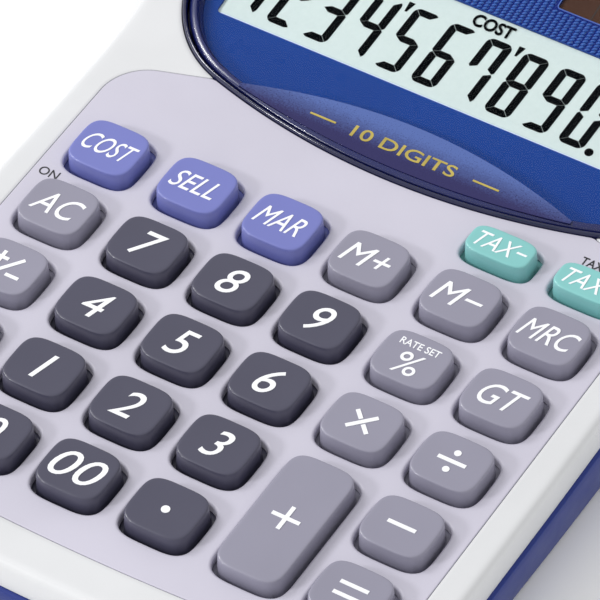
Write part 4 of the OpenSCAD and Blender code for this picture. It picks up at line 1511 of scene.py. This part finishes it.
# %% Signs drawn from strokes
SIGN_STROKE = 0.66
SIGN_HALF = 2.3
signs = {
    "key_plus": [
        stroke((-SIGN_HALF, 0), (-SIGN_STROKE / 2, 0), SIGN_STROKE),
        stroke((SIGN_STROKE / 2, 0), (SIGN_HALF, 0), SIGN_STROKE),
        stroke((0, -SIGN_HALF), (0, SIGN_HALF), SIGN_STROKE),
    ],
    "key_minus": [stroke((-SIGN_HALF, 0), (SIGN_HALF, 0), SIGN_STROKE)],
    "key_equals": [
        stroke((-SIGN_HALF, side * 1.05), (SIGN_HALF, side * 1.05), SIGN_STROKE)
        for side in (-1, 1)
    ],
    "key_multiply": [
        stroke((-1.75, -1.75), (1.75, 1.75), SIGN_STROKE),
        stroke((-1.75, 1.75), (-0.4, 0.4), SIGN_STROKE),
        stroke((0.4, -0.4), (1.75, -1.75), SIGN_STROKE),
    ],
    "key_divide": [
        stroke((-SIGN_HALF, 0), (SIGN_HALF, 0), SIGN_STROKE),
        circle_outline(0, 1.7, 0.55),
        circle_outline(0, -1.7, 0.55),
    ],
    "key_decimal": [circle_outline(0, -0.2, 0.68)],
    "key_backspace": [[(-1.7, -1.7), (1.9, 0.0), (-1.7, 1.7)]],
}
for name, outlines in signs.items():
    print_key(name, [sign_shape(outlines, *key_face(name))])

SMALL_STROKE = 0.6
sign_change = [
    stroke(start, stop, SMALL_STROKE)
    for start, stop in [
        ((-2.9, 1.2), (-1.95, 1.2)), ((-1.35, 1.2), (-0.4, 1.2)), ((-1.65, -0.1), (-1.65, 2.5)),
        ((-1.5, -2.2), (1.9, 2.2)), ((0.7, -1.5), (3.0, -1.5)),
    ]
]
print_key("key_sign_change", [sign_shape(sign_change, *key_face("key_sign_change"))])
middle, surface = key_face("key_percent")
print_key("key_percent", [
    lettering("%", 4.2, middle + [0, -1.1], surface, weight=FIGURE_WEIGHT, lean=0.12),
    lettering("RATE SET", 1.25, middle + [0, 2.6], surface, weight=0.01, width=6.6),
])
print("signs printed:", len(signs) + 2)

# %% Small print on the panel and the screen, and the gold line on the crescent
panel_words = [
    lettering("ON", 1.6, np.array([-44.4, -7.2]), 0.0, weight=0.0, width=3.3),
    lettering("TAX RATE", 1.5, np.array([38.1, 17.1]), 0.0, weight=0.01, width=8.4),
]
add_shapes("panel_print", panel_words, black_ink, place_points=to_model)

screen_word = lettering(
    "COST", 2.1, np.array([-0.75, 16.45]), INK_HEIGHT + INK_BELOW, weight=0.02, width=7.0
)
add_shapes(
    "screen_word", [screen_word], crystal_ink, place_points=display_points
)


def crescent_points(points):
    """Metres for lettering that lies on the crescent, bent with the face."""
    lifted = face_height(points[:, 1]) + WINDOW_PROUD + 0.05 + points[:, 2]
    return to_model(np.column_stack([points[:, :2], lifted]))


crescent_word = lettering("10 DIGITS", 2.2, np.array([0.0, 22.6]), 0.0, weight=0.01, width=18.0)
dashes = sign_shape(
    [stroke((side * 12.0, 0), (side * 16.5, 0), 0.35) for side in (-1, 1)],
    np.array([0.0, 22.6]), 0.0,
)
add_shapes(
    "crescent_print", [crescent_word, dashes], gold_ink,
    place_points=crescent_points,
)
print("small print done")

# %% [markdown]
# ## What the window and the case hide
# The parts inside keep their CAD shapes, which are already true, and only get their
# materials. Most are never seen, but the model is also taken apart in other programs.

# %% Finishes of the inner parts
INNER_FINISHES = {
    "case_seal": foot_rubber, "window_gasket": foot_rubber, "battery_cover_seal": foot_rubber,
    "lcd_glass": cell_glass, "lcd_reflector": screen_foil, "lcd_holder": inner_white_plastic,
    "solar_cell": solar_film, "display_ribbon": ribbon_film, "rubber_key_mat": mat_rubber,
    "main_board": circuit_green, "controller_chip": chip_resin,
    "board_components": component_tan, "board_screws": zinc_metal, "case_screws": zinc_metal,
    "battery_cover_screws": zinc_metal, "button_cell": steel_metal,
    "battery_contact_positive": brass_metal, "battery_contact_negative": brass_metal,
    "solar_leads": red_sleeve, "battery_leads": black_sleeve,
}
for node, finish in INNER_FINISHES.items():
    part = frame["nodes"][node]
    part.data.materials.clear()
    part.data.materials.append(finish)
print("inner parts finished:", len(INNER_FINISHES))

# %% [markdown]
# ## The studio
# The calculator lies on a plain pale floor in a bright even surround. One light stands
# to the left and gives the keys their shadows. A smaller one stands low in front on the
# left, where the rounded front edges mirror it as a thin line. The camera looks from the
# front right, from far away through a long lens, so parallel edges stay nearly parallel.

# %% Floor and lights
FLOOR_HALF = 4.0
floor_mesh = bpy.data.meshes.new("studio_floor")
floor_mesh.from_pydata(
    [(-FLOOR_HALF, -FLOOR_HALF, 0), (FLOOR_HALF, -FLOOR_HALF, 0), (FLOOR_HALF, FLOOR_HALF, 0),
     (-FLOOR_HALF, FLOOR_HALF, 0)], [], [(0, 1, 2, 3)],
)
floor = bpy.data.objects.new("studio_floor", floor_mesh)
bpy.context.scene.collection.objects.link(floor)
floor_mesh.materials.append(
    printed("floor_paper", srgb(251, 251, 251), srgb(253, 253, 253), 30.0, 0.8)
)

scene = bpy.context.scene
scene.view_settings.view_transform = "Standard"
scene.view_settings.look = "None"
world = bpy.data.worlds.new("studio")
world.use_nodes = True
surround = world.node_tree.nodes["Background"]
surround.inputs["Color"].default_value = (1.0, 1.0, 1.0, 1.0)
surround.inputs["Strength"].default_value = 0.78
scene.world = world


def soft_light(name, spot, size, power):
    """A square soft light that faces the calculator."""
    lamp = bpy.data.lights.new(name, "AREA")
    lamp.shape = "SQUARE"
    lamp.size = size
    lamp.energy = power
    holder = bpy.data.objects.new(name, lamp)
    holder.location = spot
    aim = Vector((0, 0, 0.015)) - Vector(spot)
    holder.rotation_euler = aim.to_track_quat("-Z", "Y").to_euler()
    scene.collection.objects.link(holder)
    return holder


soft_light("key_light", (-0.95, -0.05, 0.95), 0.35, 6.5)
soft_light("rim_light", (-0.72, -0.76, 0.57), 0.16, 4.4)

# %% Camera
EYE = np.array([[326.28, -497.34, 642.25]])
AIM = np.array([[1.93, -10.46, 0.0]])
ROLL_RIGHT = np.array([0.85153, 0.52325, -0.03337])
lean = Matrix.Rotation(key_tilt, 3, "X")
eye = Vector(to_model(EYE)[0])
aim = Vector(to_model(AIM)[0])
forward = (aim - eye).normalized()
right_side = lean @ Vector(ROLL_RIGHT)
right_side = (right_side - forward * right_side.dot(forward)).normalized()
upward = right_side.cross(forward)
camera_data = bpy.data.cameras.new("camera")
camera_data.sensor_width = 36.0
camera_data.lens = 354.17
camera_data.clip_start = 0.05
camera_data.clip_end = 20.0
camera = bpy.data.objects.new("camera", camera_data)
turn = Matrix((right_side, upward, -forward)).transposed()
camera.matrix_world = Matrix.Translation(eye) @ turn.to_4x4()
scene.collection.objects.link(camera)
scene.camera = camera
print(f"camera {1000 * (aim - eye).length:.0f} mm away")
